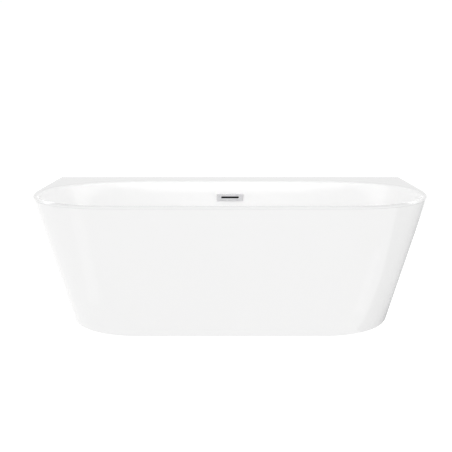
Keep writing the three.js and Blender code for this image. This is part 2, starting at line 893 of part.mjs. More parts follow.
function rail( name, y ) {

	const section = roundedRectangle( RAIL.size, RAIL.size, RAIL.corner );
	const hollow = RAIL.size - 2 * RAIL.wall;
	section.holes.push( roundedRectangle( hollow, hollow, RAIL.corner - RAIL.wall ) );
	const tube = extrude( section, 2 * RAIL.halfLength, 2 );
	tube.translate( 0, 0, - RAIL.halfLength ).rotateY( Math.PI / 2 );
	return piece( name, tube, coatedSteel(), 0, y, RAIL_TOP - RAIL.size / 2 );

}

// Flat bar across the rails, drilled for a levelling foot at each given Y.

function flatBar( name, x, front, rear, holeYs ) {

	const middle = ( front + rear ) / 2;
	const shape = roundedRectangle( BAR.width, rear - front, BAR.corner );

	for ( const holeY of holeYs ) {

		const hole = new THREE.Path();
		hole.absarc( 0, holeY - middle, BAR.holeRadius, 0, Math.PI * 2 );
		shape.holes.push( hole );

	}

	return piece( name, extrude( shape, BAR.thickness, 6 ), coatedSteel(), x, middle, BAR_BOTTOM );

}

function cradle() {

	const footYs = [ FOOT.frontY, FOOT.rearY ];
	return [
		baseBoard(),
		rail( 'rail_front', RAIL.frontY ),
		rail( 'rail_rear', RAIL.rearY ),
		flatBar( 'crossbar_left', - BAR.x, BAR.front, BAR.rear, footYs ),
		flatBar( 'crossbar_right', BAR.x, BAR.front, BAR.rear, footYs ),
		flatBar( 'centre_strap', STRAP.x, STRAP.front, STRAP.rear, [ DRAIN.y ] ),
	];

}

// Levelling foot: a plastic pad on a threaded stud, which runs in a welded nut and is locked below

function hexNut( name, z ) {

	const hexagon = new THREE.Shape();

	for ( let i = 0; i < 6; i ++ ) {

		const angle = i / 6 * 2 * Math.PI;
		const x = NUT.radius * Math.cos( angle );
		const y = NUT.radius * Math.sin( angle );
		if ( i === 0 ) hexagon.moveTo( x, y );
		else hexagon.lineTo( x, y );

	}

	hexagon.closePath();
	const bore = new THREE.Path();
	bore.absarc( 0, 0, NUT.boreRadius, 0, Math.PI * 2 );
	hexagon.holes.push( bore );
	return piece( name, extrude( hexagon, NUT.thickness, 6 ), zincSteel(), 0, 0, z );

}

function foot( name, x, y ) {

	const group = new THREE.Group();
	group.position.set( x, y, 0 );
	const { padRadius, padEdge, skirtTop, shoulder, neck, collarRadius, padHeight, socketFloor } = FOOT;
	const { studRadius, studPoint, hexagonRadius } = FOOT;
	const socket = studRadius + FOOT.socketClearance;
	const pad = turned( [
		[ 0, 0 ], [ padRadius - padEdge, 0 ], [ padRadius, padEdge ], [ padRadius, skirtTop ],
		[ shoulder.radius, shoulder.z ], [ neck.radius, neck.z ], [ collarRadius, padHeight ],
		[ socket, padHeight ], [ socket, socketFloor ], [ 0, socketFloor ],
	], PAD_STEPS );
	const studBottom = socketFloor + GAP;
	const hexagonBottom = padHeight + FOOT.hexagonLift;
	const hexagonTop = hexagonBottom + FOOT.hexagonHeight;
	const stud = turned( [
		[ 0, studBottom ], [ studRadius, studBottom ], [ studRadius, hexagonBottom ],
		[ hexagonRadius, hexagonBottom ], [ hexagonRadius, hexagonTop ], [ studRadius, hexagonTop ],
		[ studRadius, STUD_TOP - studPoint ], [ studRadius - studPoint, STUD_TOP ], [ 0, STUD_TOP ],
	], SMALL_ROUND_STEPS );
	group.add(
		piece( `${ name }_pad`, pad, blackPlastic() ),
		piece( `${ name }_stud`, stud, zincSteel() ),
		hexNut( `${ name }_weld_nut`, BAR_TOP + GAP ),
		hexNut( `${ name }_lock_nut`, BAR_BOTTOM - GAP - NUT.thickness ),
	);
	return group;

}

function feet() {

	return [
		foot( 'foot_front_left', - BAR.x, FOOT.frontY ),
		foot( 'foot_front_right', BAR.x, FOOT.frontY ),
		foot( 'foot_rear_left', - BAR.x, FOOT.rearY ),
		foot( 'foot_rear_right', BAR.x, FOOT.rearY ),
		foot( 'foot_centre', STRAP.x, DRAIN.y ),
	];

}

const bathtub = new THREE.Group();
bathtub.add( outerShell(), innerShell(), overflowFittings(), overflowBody(), ...overflowPiping() );
bathtub.add( drainAndTrap(), plug(), ...cradle(), ...feet() );

export default bathtub;
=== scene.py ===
"""Back-to-wall freestanding bathtub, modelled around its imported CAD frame.

The object's lengths below are in millimetres, like its drawings, and become metres where a mesh is
made. X runs along the tub, +Y points at the wall behind it and +Z is up.
"""
import math

import bmesh
import bpy
from mathutils import Matrix, Vector


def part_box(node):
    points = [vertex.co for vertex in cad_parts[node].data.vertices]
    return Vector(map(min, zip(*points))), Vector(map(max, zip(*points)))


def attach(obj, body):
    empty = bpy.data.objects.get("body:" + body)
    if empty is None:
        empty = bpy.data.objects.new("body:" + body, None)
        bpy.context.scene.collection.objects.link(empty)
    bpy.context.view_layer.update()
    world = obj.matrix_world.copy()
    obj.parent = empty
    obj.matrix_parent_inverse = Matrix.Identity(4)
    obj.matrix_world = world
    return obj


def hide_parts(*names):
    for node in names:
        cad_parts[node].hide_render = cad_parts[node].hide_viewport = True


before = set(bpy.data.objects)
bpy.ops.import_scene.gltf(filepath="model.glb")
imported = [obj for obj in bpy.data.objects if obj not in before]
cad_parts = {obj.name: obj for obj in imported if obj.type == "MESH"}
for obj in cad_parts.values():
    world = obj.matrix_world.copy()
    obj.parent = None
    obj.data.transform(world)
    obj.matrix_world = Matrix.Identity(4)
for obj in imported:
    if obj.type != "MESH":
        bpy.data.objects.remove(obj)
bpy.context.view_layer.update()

MM = 0.001
GAP = 0.3
SMOOTH_ANGLE = 35
LOFT_SMOOTH_ANGLE = 30

# ---- sizes read from the frame


def node_box(node):
    """(lowest, highest) corner of a CAD node in millimetres."""
    low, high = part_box(node)
    return Vector(low) / MM, Vector(high) / MM


def node_centre(node):
    low, high = node_box(node)
    return (low + high) / 2


SHELL_LOW, SHELL_HIGH = node_box("inner_shell")
APRON_LOW, APRON_HIGH = node_box("outer_shell")
HALF_LENGTH = SHELL_HIGH.x
FRONT_Y = SHELL_LOW.y
WALL_Y = SHELL_HIGH.y
HEIGHT = SHELL_HIGH.z
UNDERSIDE = SHELL_LOW.z
APRON_BOTTOM = APRON_LOW.z
APRON_TOP = APRON_HIGH.z
DRAIN_Y = node_centre("drain_flange").y

# ---- shell form

RIM_RADIUS = 6
RIM_SHOULDER = HEIGHT - RIM_RADIUS
RIM_EDGE = 14
DECK_THICKNESS = 5
LIP_RADIUS = 13
LIP_END_ANGLE = math.radians(80)
SEAM_CHAMFER = 0.4
SHELL_THICKNESS = 5
APRON_THICKNESS = 6
APRON_BOTTOM_FLANGE = 26
APRON_FLANGE_THICKNESS = 5

APRON_BASE = {"half_length": 720, "front": FRONT_Y + 115, "corner": 330, "power": 2.1}
APRON_RIM = {"half_length": HALF_LENGTH, "front": FRONT_Y, "corner": 398, "power": 2.3}
REAR_CORNER = 8

BASIN_TOP = {
    "half_length": 818,
    "front": -376,
    "rear": 255,
    "front_corner": (390, 325, 2.25),
    "rear_corner": (450, 305, 2.05),
}
BASIN_FLOOR = {
    "half_length": 560,
    "front": -250,
    "rear": 155,
    "front_corner": (230, 190, 2.2),
    "rear_corner": (230, 190, 2.2),
}
WALL_TOP = HEIGHT - 8
FLOOR_TOP = UNDERSIDE + 16
DRAIN_FLOOR = UNDERSIDE + 10
DRAIN_HOLE_RADIUS = 27
END_SLOPE = 0.62
SIDE_SLOPE = 0.5
FLOOR_CURVE_POWER = 3.2
ACCESS_HALF_WIDTH, ACCESS_TOP, ACCESS_CORNER = 540, 430, 50

CORNER_STEPS = 40
WALL_LEVELS = 34
FLOOR_LEVELS = 10
ARC_STEPS = 8


def lerp(a, b, share):
    return a + (b - a) * share


def superellipse_corner(centre, radii, power, quarter, steps):
    """Points of one quarter of a superellipse, counterclockwise from above."""
    points = []
    for step in range(steps + 1):
        angle = (quarter + step / steps) * math.pi / 2
        cosine, sine = math.cos(angle), math.sin(angle)
        x = centre[0] + radii[0] * math.copysign(abs(cosine) ** (2 / power), cosine)
        y = centre[1] + radii[1] * math.copysign(abs(sine) ** (2 / power), sine)
        points.append((x, y))
    return points


def outline(form, z):
    """Closed outline of a tub section at one height: four corners joined by straight stretches."""
    ring = []
    for quarter in range(4):
        at_rear = quarter < 2
        radius_x, radius_y, power = form["rear_corner" if at_rear else "front_corner"]
        side = 1 if quarter in (0, 3) else -1
        centre_x = side * (form["half_length"] - radius_x)
        centre_y = form["rear"] - radius_y if at_rear else form["front"] + radius_y
        centre, radii = (centre_x, centre_y), (radius_x, radius_y)
        corner = superellipse_corner(centre, radii, power, quarter, CORNER_STEPS)
        ring += [Vector((x, y, z)) for x, y in corner]
    return ring


def matching_circle(radius, z):
    """A circle round the drain with one point for each point of an outline."""
    count = 4 * (CORNER_STEPS + 1)
    ring = []
    for i in range(count):
        angle = (i + 0.5) / count * math.tau
        ring.append(Vector((radius * math.cos(angle), DRAIN_Y + radius * math.sin(angle), z)))
    return ring


def blend(ring_a, ring_b, share):
    return [a.lerp(b, share) for a, b in zip(ring_a, ring_b)]


def apron_outline(z, inset):
    """Outline of the tapered outer form, which is straight from the floor to the rim's shoulder."""
    share = min(z / RIM_SHOULDER, 1)
    corner = lerp(APRON_BASE["corner"], APRON_RIM["corner"], share) - inset
    power = lerp(APRON_BASE["power"], APRON_RIM["power"], share)
    rear = max(REAR_CORNER - inset, 1)
    form = {
        "half_length": lerp(APRON_BASE["half_length"], APRON_RIM["half_length"], share) - inset,
        "front": lerp(APRON_BASE["front"], APRON_RIM["front"], share) + inset,
        "rear": WALL_Y - inset,
        "front_corner": (corner, corner, power),
        "rear_corner": (rear, rear, 2),
    }
    return outline(form, z)


def wall_inset(depth_share, slope):
    """How far a wall has come in at a share of its depth: a straight slope, then a floor curve."""
    power = FLOOR_CURVE_POWER
    curve = 1 - (1 - depth_share**power) ** (1 / power)
    return slope * depth_share + (1 - slope) * curve


def basin_corner(name, share, offset):
    top, floor = BASIN_TOP[name], BASIN_FLOOR[name]
    return (
        lerp(top[0], floor[0], share) + offset,
        lerp(top[1], floor[1], share) + offset,
        lerp(top[2], floor[2], share),
    )


def basin_outline(depth_share, offset, z):
    end = wall_inset(depth_share, END_SLOPE)
    side = wall_inset(depth_share, SIDE_SLOPE)
    form = {
        "half_length": lerp(BASIN_TOP["half_length"], BASIN_FLOOR["half_length"], end) + offset,
        "front": lerp(BASIN_TOP["front"], BASIN_FLOOR["front"], side) - offset,
        "rear": lerp(BASIN_TOP["rear"], BASIN_FLOOR["rear"], side) + offset,
        "front_corner": basin_corner("front_corner", depth_share, offset),
        "rear_corner": basin_corner("rear_corner", depth_share, offset),
    }
    return outline(form, z)


# ---- mesh building


def add_to_scene(obj):
    bpy.context.scene.collection.objects.link(obj)
    return obj


def raw_object(name, vertices, faces, materials):
    """An unfinished mesh object from points in millimetres."""
    mesh = bpy.data.meshes.new(name)
    mesh.from_pydata([Vector(v) * MM for v in vertices], [], faces)
    for material in materials:
        mesh.materials.append(material)
    return bpy.data.objects.new(name, mesh)


def finish_object(obj, smooth_angle=SMOOTH_ANGLE):
    """Merges doubles, turns faces outward and links the object; edges over the angle stay crisp."""
    mesh = obj.data
    work = bmesh.new()
    work.from_mesh(mesh)
    bmesh.ops.remove_doubles(work, verts=work.verts, dist=1e-6)
    bmesh.ops.dissolve_degenerate(work, edges=work.edges, dist=1e-7)
    bmesh.ops.recalc_face_normals(work, faces=work.faces)
    work.to_mesh(mesh)
    work.free()
    shade_smooth(mesh, smooth_angle)
    return add_to_scene(obj)


def shade_smooth(mesh, angle=SMOOTH_ANGLE):
    mesh.polygons.foreach_set("use_smooth", [True] * len(mesh.polygons))
    mesh.set_sharp_from_angle(angle=math.radians(angle))


def placing(centre, angle=0, axis="Z"):
    """A matrix that turns about an axis and then moves to a centre."""
    return Matrix.Translation(centre) @ Matrix.Rotation(angle, 4, axis)


def metric(matrix):
    """The same placing with its translation in metres."""
    scaled = matrix.copy()
    scaled.translation = matrix.translation * MM
    return scaled


def move(obj, matrix):
    """Moves an object's mesh for good, with the translation in millimetres."""
    obj.data.transform(metric(matrix))


def loft_faces(rows, columns):
    """Quads between the rings of a loft, whose last ring meets its first."""
    faces = []
    for row in range(rows):
        following = (row + 1) % rows
        for column in range(columns):
            right = (column + 1) % columns
            faces.append((row * columns + column, row * columns + right,
                          following * columns + right, following * columns + column))
    return faces


def loft_object(name, rings, materials, hidden_rings=range(0)):
    """A ring-shaped loft; faces that start at a hidden ring take the second material."""
    columns = len(rings[0])
    vertices = [point for ring in rings for point in ring]
    obj = raw_object(name, vertices, loft_faces(len(rings), columns), materials)
    for row in hidden_rings:
        for column in range(columns):
            obj.data.polygons[row * columns + column].material_index = 1
    return finish_object(obj, LOFT_SMOOTH_ANGLE)


def arc(centre, radius, start, end, steps=ARC_STEPS):
    """Points of a circular arc in a profile plane, angles in degrees."""
    points = []
    for step in range(steps + 1):
        angle = math.radians(lerp(start, end, step / steps))
        points.append((centre[0] + radius * math.cos(angle), centre[1] + radius * math.sin(angle)))
    return points


def rounded_profile(corners, radius, steps=4):
    """A closed profile whose corners are rounded by arcs; a corner on the axis stays sharp."""
    points = []
    count = len(corners)
    for i, corner in enumerate(corners):
        here = Vector(corner[:2])
        limit = corner[2] if len(corner) > 2 else radius
        into = here - Vector(corners[i - 1][:2])
        out = Vector(corners[(i + 1) % count][:2]) - here
        cut = min(limit, into.length * 0.45, out.length * 0.45)
        if here.x < 1e-6 or cut < 1e-3:
            points.append((here.x, here.y))
            continue
        start, end = here - into.normalized() * cut, here + out.normalized() * cut
        for step in range(steps + 1):
            t = step / steps
            point = start * (1 - t) ** 2 + here * 2 * t * (1 - t) + end * t**2
            points.append((point.x, point.y))
    return points


def gripped(r, height, angle, grip):
    """A radius with shallow flutes cut round the outside for the fingers."""
    if not grip or r < grip["from_radius"] or height > grip["below"]:
        return r
    return r - grip["depth"] * (1 - math.cos(grip["count"] * angle)) / 2


def ring_profile(bore, radius, low, high):
    """Square profile of a ring, or of a plain cylinder where the bore is 0."""
    return [(bore, low), (radius, low), (radius, high), (bore, high)]


def turned(
    name, corners, material, radius=0.6, segments=72, centre=(0, 0, 0), axis="Z", steps=4, grip=None
):
    """A solid or ring turned from a closed profile of (radius, height) corners."""
    profile = rounded_profile(corners, radius, steps)
    vertices, rows = [], []
    for r, height in profile:
        if r < 1e-6:
            rows.append([len(vertices)] * segments)
            vertices.append(Vector((0, 0, height)))
            continue
        rows.append(list(range(len(vertices), len(vertices) + segments)))
        for i in range(segments):
            angle = i / segments * math.tau
            reach = gripped(r, height, angle, grip)
            vertices.append(Vector((reach * math.cos(angle), reach * math.sin(angle), height)))
    faces = []
    for row, following in zip(rows, rows[1:] + rows[:1]):
        for i in range(segments):
            j = (i + 1) % segments
            corners_of_face = dict.fromkeys((row[i], row[j], following[j], following[i]))
            if len(corners_of_face) > 2:
                faces.append(tuple(corners_of_face))
    matrix = placing(centre, math.pi / 2 if axis == "-Y" else 0, "X")
    return finish_object(raw_object(name, [matrix @ v for v in vertices], faces, [material]))


def rounded_rectangle(width, height, radius, steps=10):
    points = []
    right, up = width / 2 - radius, height / 2 - radius
    for quarter, (sx, sy) in enumerate(((1, 1), (-1, 1), (-1, -1), (1, -1))):
        points += arc((sx * right, sy * up), radius, quarter * 90, quarter * 90 + 90, steps)
    return points


def circle_points(centre, radius, steps=40):
    return arc(centre, radius, 0, 360 * (1 - 1 / steps), steps - 1)


def prism(name, loops, thickness, bevel, material, matrix):
    """A plate from an outline and its holes, with rounded edges, its bottom at Z 0 before placing."""
    curve = bpy.data.curves.new(name, "CURVE")
    curve.dimensions = "2D"
    curve.fill_mode = "BOTH"
    curve.extrude = (thickness / 2 - bevel) * MM
    curve.bevel_depth = bevel * MM
    curve.offset = -bevel * MM
    curve.bevel_resolution = 2
    for loop in loops:
        spline = curve.splines.new("POLY")
        spline.points.add(len(loop) - 1)
        spline.use_cyclic_u = True
        for point, (x, y) in zip(spline.points, loop):
            point.co = (x * MM, y * MM, 0, 1)
    holder = add_to_scene(bpy.data.objects.new(name + "_curve", curve))
    mesh = bpy.data.meshes.new_from_object(holder.evaluated_get(bpy.context.evaluated_depsgraph_get()))
    bpy.data.objects.remove(holder)
    bpy.data.curves.remove(curve)
    lift = Matrix.Translation((0, 0, thickness / 2 * MM))
    mesh.transform(metric(matrix) @ lift)
    mesh.materials.clear()
    mesh.materials.append(material)
    return finish_object(bpy.data.objects.new(name, mesh))


def combine(obj, other, operation):
    """Applies a boolean with another object for good and deletes that object."""
    modifier = obj.modifiers.new("combine", "BOOLEAN")
    modifier.operation = operation
    modifier.solver = "EXACT"
    modifier.object = other
    bpy.context.view_layer.update()
    evaluated = obj.evaluated_get(bpy.context.evaluated_depsgraph_get())
    mesh = bpy.data.meshes.new_from_object(evaluated)
    obj.modifiers.clear()
    obj.data = mesh
    shade_smooth(mesh)
    bpy.data.objects.remove(other)


def cut_away(obj, cutter):
    combine(obj, cutter, "DIFFERENCE")


def join_on(obj, other):
    combine(obj, other, "UNION")


def weight_normals(obj):
    """Lets large flat faces keep their shading next to small rounded edges."""
    modifier = obj.modifiers.new("weighted_normals", "WEIGHTED_NORMAL")
    modifier.keep_sharp = True
    modifier.weight = 60


def place(obj, body, slot, *nodes):
    """Rides a finished piece on its body and hides the CAD nodes it stands for; the slot argument is not
    used.
    """
    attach(obj, body)
    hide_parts(*nodes)
    return obj


# ---- materials


def fill(tree, socket, value):
    """Links an output to a socket, or sets the socket to a number or colour."""
    if isinstance(value, bpy.types.NodeSocket):
        tree.links.new(value, socket)
    else:
        socket.default_value = value


def add_node(tree, kind, **inputs):
    """A shader node with its inputs given by name, spaces as underscores."""
    node = tree.nodes.new("ShaderNode" + kind)
    for name, value in inputs.items():
        fill(tree, node.inputs[name.replace("_", " ")], value)
    return node


def calculate(tree, operation, *values):
    node = add_node(tree, "Math")
    node.operation = operation
    for socket, value in zip(node.inputs, values):
        fill(tree, socket, value)
    return node.outputs["Value"]


def map_range(tree, value, start, end, low, high, interpolation="LINEAR"):
    """Maps start..end of a value to low..high."""
    limits = {"From_Min": start, "From_Max": end, "To_Min": low, "To_Max": high}
    node = add_node(tree, "MapRange", Value=value, **limits)
    node.interpolation_type = interpolation
    return node.outputs["Result"]


class Surface:
    """A Principled material with procedural colour, roughness and relief."""

    def __init__(self, name, roughness, metallic=0.0, ior=1.5, coat=0.0, coat_roughness=0.05):
        self.material = bpy.data.materials.new(name)
        self.material.use_nodes = True
        self.tree = self.material.node_tree
        self.shader = self.tree.nodes["Principled BSDF"]
        self.shader.inputs["Metallic"].default_value = metallic
        self.shader.inputs["IOR"].default_value = ior
        self.shader.inputs["Roughness"].default_value = roughness
        self.shader.inputs["Coat Weight"].default_value = coat
        self.shader.inputs["Coat Roughness"].default_value = coat_roughness
        self.coordinates = add_node(self.tree, "TexCoord").outputs["Object"]

    def noise(self, scale, detail=3.0):
        """Noise over the object, scale in features per metre."""
        texture = add_node(self.tree, "TexNoise", Scale=scale, Detail=detail, Vector=self.coordinates)
        return texture.outputs["Fac"]

    def voronoi(self, scale, output="Distance", stretch=(1, 1, 1)):
        """Cells over the object, scale in cells per metre."""
        mapping = add_node(self.tree, "Mapping", Scale=stretch, Vector=self.coordinates)
        texture = add_node(self.tree, "TexVoronoi", Scale=scale, Vector=mapping.outputs["Vector"])
        return texture.outputs[output]

    def remap(self, value, low, high, start=0.3, end=0.7):
        return map_range(self.tree, value, start, end, low, high)

    def add(self, a, b):
        return calculate(self.tree, "ADD", a, b)

    def mix(self, factor, colour_a, colour_b):
        node = add_node(self.tree, "Mix", Factor=factor)
        node.data_type = "RGBA"
        for letter, colour in (("A", colour_a), ("B", colour_b)):
            socket = next(s for s in node.inputs if s.name == letter and s.type == "RGBA")
            fill(self.tree, socket, (*colour, 1) if isinstance(colour, tuple) else colour)
        return next(s for s in node.outputs if s.type == "RGBA")

    def edge_wear(self, width):
        """1 on convex edges, 0 on flat faces, from the surface's own shape."""
        pointiness = add_node(self.tree, "NewGeometry").outputs["Pointiness"]
        return self.remap(pointiness, 0, 1, 0.5 + width * 0.2, 0.5 + width)

    def colour(self, output):
        fill(self.tree, self.shader.inputs["Base Color"], output)

    def roughness(self, output):
        fill(self.tree, self.shader.inputs["Roughness"], output)

    def glow(self, strength):
        self.shader.inputs["Emission Color"].default_value = (1, 1, 1, 1)
        self.shader.inputs["Emission Strength"].default_value = strength

    def relief(self, height, distance, strength=1.0):
        """Bump from a height, distance in millimetres."""
        bump = add_node(self.tree, "Bump", Strength=strength, Distance=distance * MM, Height=height)
        fill(self.tree, self.shader.inputs["Normal"], bump.outputs["Normal"])


def gloss_acrylic():
    """Sanitary acrylic: bright white, a faint wave from the mould and hairline scuffs."""
    surface = Surface("gloss_acrylic", roughness=0.12, ior=1.49)
    broad = surface.noise(2.2, 2.0)
    surface.colour(surface.mix(broad, (0.874, 0.874, 0.873), (0.890, 0.889, 0.888)))
    fine = surface.noise(900, 2.0)
    smudges = surface.noise(9, 4.0)
    surface.roughness(surface.add(surface.remap(smudges, 0.05, 0.08), surface.remap(fine, 0.0, 0.02)))
    wave = surface.noise(14, 1.0)
    surface.relief(wave, 0.12, 0.5)
    return surface.material


def fibreglass():
    """Rough resin and chopped strands on the hidden side of the shells."""
    surface = Surface("fibreglass_backing", roughness=0.6)
    strands = surface.voronoi(160, stretch=(1, 0.35, 0.6))
    cloud = surface.noise(18, 5.0)
    base = surface.mix(cloud, (0.62, 0.61, 0.56), (0.78, 0.77, 0.72))
    surface.colour(surface.mix(surface.remap(strands, 0, 0.35, 0.1, 0.9), base, (0.88, 0.88, 0.84)))
    surface.roughness(surface.remap(cloud, 0.45, 0.75))
    surface.relief(surface.add(strands, surface.noise(240, 4.0)), 0.8, 0.7)
    return surface.material


def polished_chrome():
    surface = Surface("polished_chrome", roughness=0.07, metallic=1.0)
    haze = surface.noise(60, 4.0)
    surface.colour(surface.mix(haze, (0.87, 0.87, 0.89), (0.92, 0.92, 0.94)))
    surface.roughness(surface.remap(surface.noise(350, 3.0), 0.05, 0.12))
    surface.relief(surface.noise(40, 1.0), 0.02, 0.4)
    return surface.material


def zinc_plate():
    surface = Surface("bright_zinc_plate", roughness=0.35, metallic=1.0)
    blotch = surface.noise(120, 4.0)
    base = surface.mix(blotch, (0.52, 0.54, 0.57), (0.70, 0.70, 0.66))
    surface.colour(surface.mix(surface.edge_wear(0.04), base, (0.80, 0.80, 0.79)))
    surface.roughness(surface.remap(surface.noise(400, 3.0), 0.25, 0.48))
    surface.relief(surface.noise(700, 2.0), 0.02, 0.5)
    return surface.material


def cells_and_cloud(surface, cells, cloud, colours, cloud_share, cloud_colour):
    """Cells of two colours under a cloud of a third."""
    base = surface.mix(surface.remap(cells, 0, 1, 0, 1), *colours)
    surface.colour(surface.mix(surface.remap(cloud, 0, cloud_share), base, cloud_colour))


def galvanised_steel():
    """Hot-dipped steel: crystals a centimetre across and a dull bloom."""
    surface = Surface("galvanised_steel", roughness=0.5, metallic=0.85)
    spangle, bloom = surface.voronoi(110, "Color"), surface.noise(30, 5.0)
    greys = (0.36, 0.38, 0.40), (0.56, 0.58, 0.60)
    cells_and_cloud(surface, spangle, bloom, greys, 0.5, (0.50, 0.50, 0.49))
    surface.roughness(surface.remap(bloom, 0.38, 0.62))
    surface.relief(surface.noise(260, 4.0), 0.05, 0.5)
    return surface.material


def chipboard():
    """Pressed chips under a coat of resin."""
    surface = Surface("chipboard", roughness=0.7, coat=0.15, coat_roughness=0.4)
    chips, dust = surface.voronoi(190, "Color", (1, 0.6, 1.8)), surface.noise(500, 4.0)
    browns = (0.50, 0.36, 0.21), (0.74, 0.60, 0.40)
    cells_and_cloud(surface, chips, dust, browns, 0.6, (0.40, 0.28, 0.16))
    surface.roughness(surface.remap(dust, 0.6, 0.85))
    surface.relief(surface.add(chips, dust), 0.25, 0.6)
    return surface.material


def moulded_plastic(name, dark, light, roughness):
    surface = Surface(name, roughness=roughness)
    flow = surface.noise(25, 3.0)
    grain = surface.noise(1500, 2.0)
    surface.colour(surface.mix(flow, dark, light))
    surface.roughness(surface.remap(grain, roughness - 0.06, roughness + 0.1))
    surface.relief(grain, 0.03, 0.6)
    return surface.material


def seal_rubber():
    surface = Surface("seal_rubber", roughness=0.75)
    bloom = surface.noise(200, 5.0)
    surface.colour(surface.mix(bloom, (0.012, 0.012, 0.013), (0.035, 0.035, 0.036)))
    surface.roughness(surface.remap(bloom, 0.62, 0.9))
    surface.relief(surface.noise(1200, 2.0), 0.04, 0.6)
    return surface.material


ACRYLIC = gloss_acrylic()
BACKING = fibreglass()
CHROME = polished_chrome()
ZINC = zinc_plate()
STEEL = galvanised_steel()
BOARD = chipboard()
WHITE_PLASTIC = moulded_plastic("white_polypropylene", (0.66, 0.67, 0.65), (0.76, 0.77, 0.75), 0.35)
BLACK_PLASTIC = moulded_plastic("black_polypropylene", (0.014, 0.014, 0.015), (0.03, 0.03, 0.031), 0.45)
RUBBER = seal_rubber()

# ---- shells


def basin_wall(offset, top_z, floor_z, levels):
    rings = []
    for level in range(levels + 1):
        share = math.sin(level / levels * math.pi / 2)
        rings.append(basin_outline(share, offset, lerp(top_z, floor_z, share)))
    return rings


def rim_edge_rings():
    """The rim's outer edge: a chamfer at the seam, a short flat, then a quarter round onto the deck."""
    bottom = HEIGHT - 10
    rings = [apron_outline(HEIGHT - DECK_THICKNESS, RIM_EDGE), apron_outline(bottom, RIM_EDGE)]
    rings += [apron_outline(bottom, SEAM_CHAMFER), apron_outline(bottom + SEAM_CHAMFER, 0)]
    for step in range(ARC_STEPS + 1):
        angle = step / ARC_STEPS * math.pi / 2
        inset = RIM_RADIUS * (1 - math.cos(angle))
        rings.append(apron_outline(RIM_SHOULDER + RIM_RADIUS * math.sin(angle), inset))
    return rings


def lip_rings():
    """The soft edge from the deck into the basin, ending in line with the sloping wall."""
    rings = []
    for step in range(ARC_STEPS):
        angle = step / ARC_STEPS * LIP_END_ANGLE
        offset = LIP_RADIUS * (math.sin(LIP_END_ANGLE) - math.sin(angle))
        share = (1 - math.cos(angle)) / (1 - math.cos(LIP_END_ANGLE))
        rings.append(basin_outline(0, offset, lerp(HEIGHT, WALL_TOP, share)))
    return rings


def floor_rings(floor_edge):
    """The floor falls gently to the drain, then steps down into the flange's seat."""
    seat_radius, seat_depth = 40, 3.5
    seat_edge = matching_circle(seat_radius + 1, DRAIN_FLOOR)
    rings = []
    for level in range(1, FLOOR_LEVELS):
        share = level / FLOOR_LEVELS
        ring = blend(floor_edge, seat_edge, share)
        fall = (1 - math.cos(share * math.pi)) / 2
        for point in ring:
            point.z = lerp(FLOOR_TOP, DRAIN_FLOOR, fall)
        rings.append(ring)
    rings.append(seat_edge)
    seat_steps = ((0.3, 0.3), (0, 1), (-0.5, seat_depth), (DRAIN_HOLE_RADIUS - seat_radius, seat_depth))
    for outward, depth in seat_steps:
        rings.append(matching_circle(seat_radius + outward, DRAIN_FLOOR - depth))
    return rings


def inner_shell():
    under_deck = HEIGHT - DECK_THICKNESS
    outside = basin_wall(SHELL_THICKNESS, under_deck, UNDERSIDE, WALL_LEVELS)[::-1]
    inside = basin_wall(0, WALL_TOP, FLOOR_TOP, WALL_LEVELS)
    rings = [matching_circle(DRAIN_HOLE_RADIUS, UNDERSIDE), *outside, *rim_edge_rings()]
    rings += [apron_outline(HEIGHT, RIM_RADIUS + 0.5), *lip_rings(), *inside, *floor_rings(inside[-1])]
    hidden = range(len(outside) + 2)
    shell = loft_object("basin_shell", rings, [ACRYLIC, BACKING], hidden)
    cut_overflow_hole(shell)
    weight_normals(shell)
    return place(shell, "tub", "acrylic", "inner_shell")


def apron_shell():
    """The apron: a tapered skin with a return flange at the top and the bottom."""
    top = APRON_TOP
    under_flange = top - APRON_FLANGE_THICKNESS
    flange_top = APRON_BOTTOM + APRON_FLANGE_THICKNESS
    edge = 1.5
    rings = [apron_outline(APRON_BOTTOM, edge), apron_outline(APRON_BOTTOM + edge * 0.3, edge * 0.3)]
    levels = 16
    for level in range(levels + 1):
        rings.append(apron_outline(lerp(APRON_BOTTOM + edge, top - SEAM_CHAMFER, level / levels), 0))
    rings.append(apron_outline(top, SEAM_CHAMFER))
    rings.append(apron_outline(top, RIM_EDGE))
    hidden_start = len(rings) - 1
    rings += [apron_outline(under_flange, RIM_EDGE), apron_outline(under_flange, APRON_THICKNESS)]
    rings += [apron_outline(flange_top, APRON_THICKNESS), apron_outline(flange_top, APRON_BOTTOM_FLANGE)]
    rings.append(apron_outline(APRON_BOTTOM, APRON_BOTTOM_FLANGE))
    shell = loft_object("apron_skin", rings, [ACRYLIC, BACKING], range(hidden_start, len(rings)))
    cut_access(shell)
    weight_normals(shell)
    return place(shell, "tub", "acrylic", "outer_shell")


def cut_access(shell):
    """The fitter's opening at the back, open to the floor."""
    cutter_height = 2 * (ACCESS_TOP + 20)
    loop = rounded_rectangle(2 * ACCESS_HALF_WIDTH, cutter_height, ACCESS_CORNER)
    upright = placing((0, WALL_Y + 10, ACCESS_TOP - cutter_height / 2), math.pi / 2, "X")
    cut_away(shell, prism("access_cutter", [loop], 50, 0, BACKING, upright))


# ---- overflow


HOLE_WIDTH, HOLE_HEIGHT = 92, 22
COVER_WIDTH = node_box("overflow_cover")[1].x * 2
COVER_HEIGHT, COVER_DEPTH, COVER_WALL = 33, 8, 2.5
SLOT_WIDTH, SLOT_HEIGHT = 84, 9
PLATE_WIDTH = node_box("overflow_seal")[1].x * 2
PLATE_THICKNESS = 2
SEAL_HEIGHT = 36
SEAL_BACK = -SHELL_THICKNESS - 2 * GAP - PLATE_THICKNESS
SCREW_X = node_centre("overflow_screw_right").x
SCREW_HOLE_RADIUS = 2.4


def rear_wall_lean():
    run = (BASIN_TOP["rear"] - BASIN_FLOOR["rear"]) * SIDE_SLOPE
    return math.atan(run / (WALL_TOP - FLOOR_TOP))


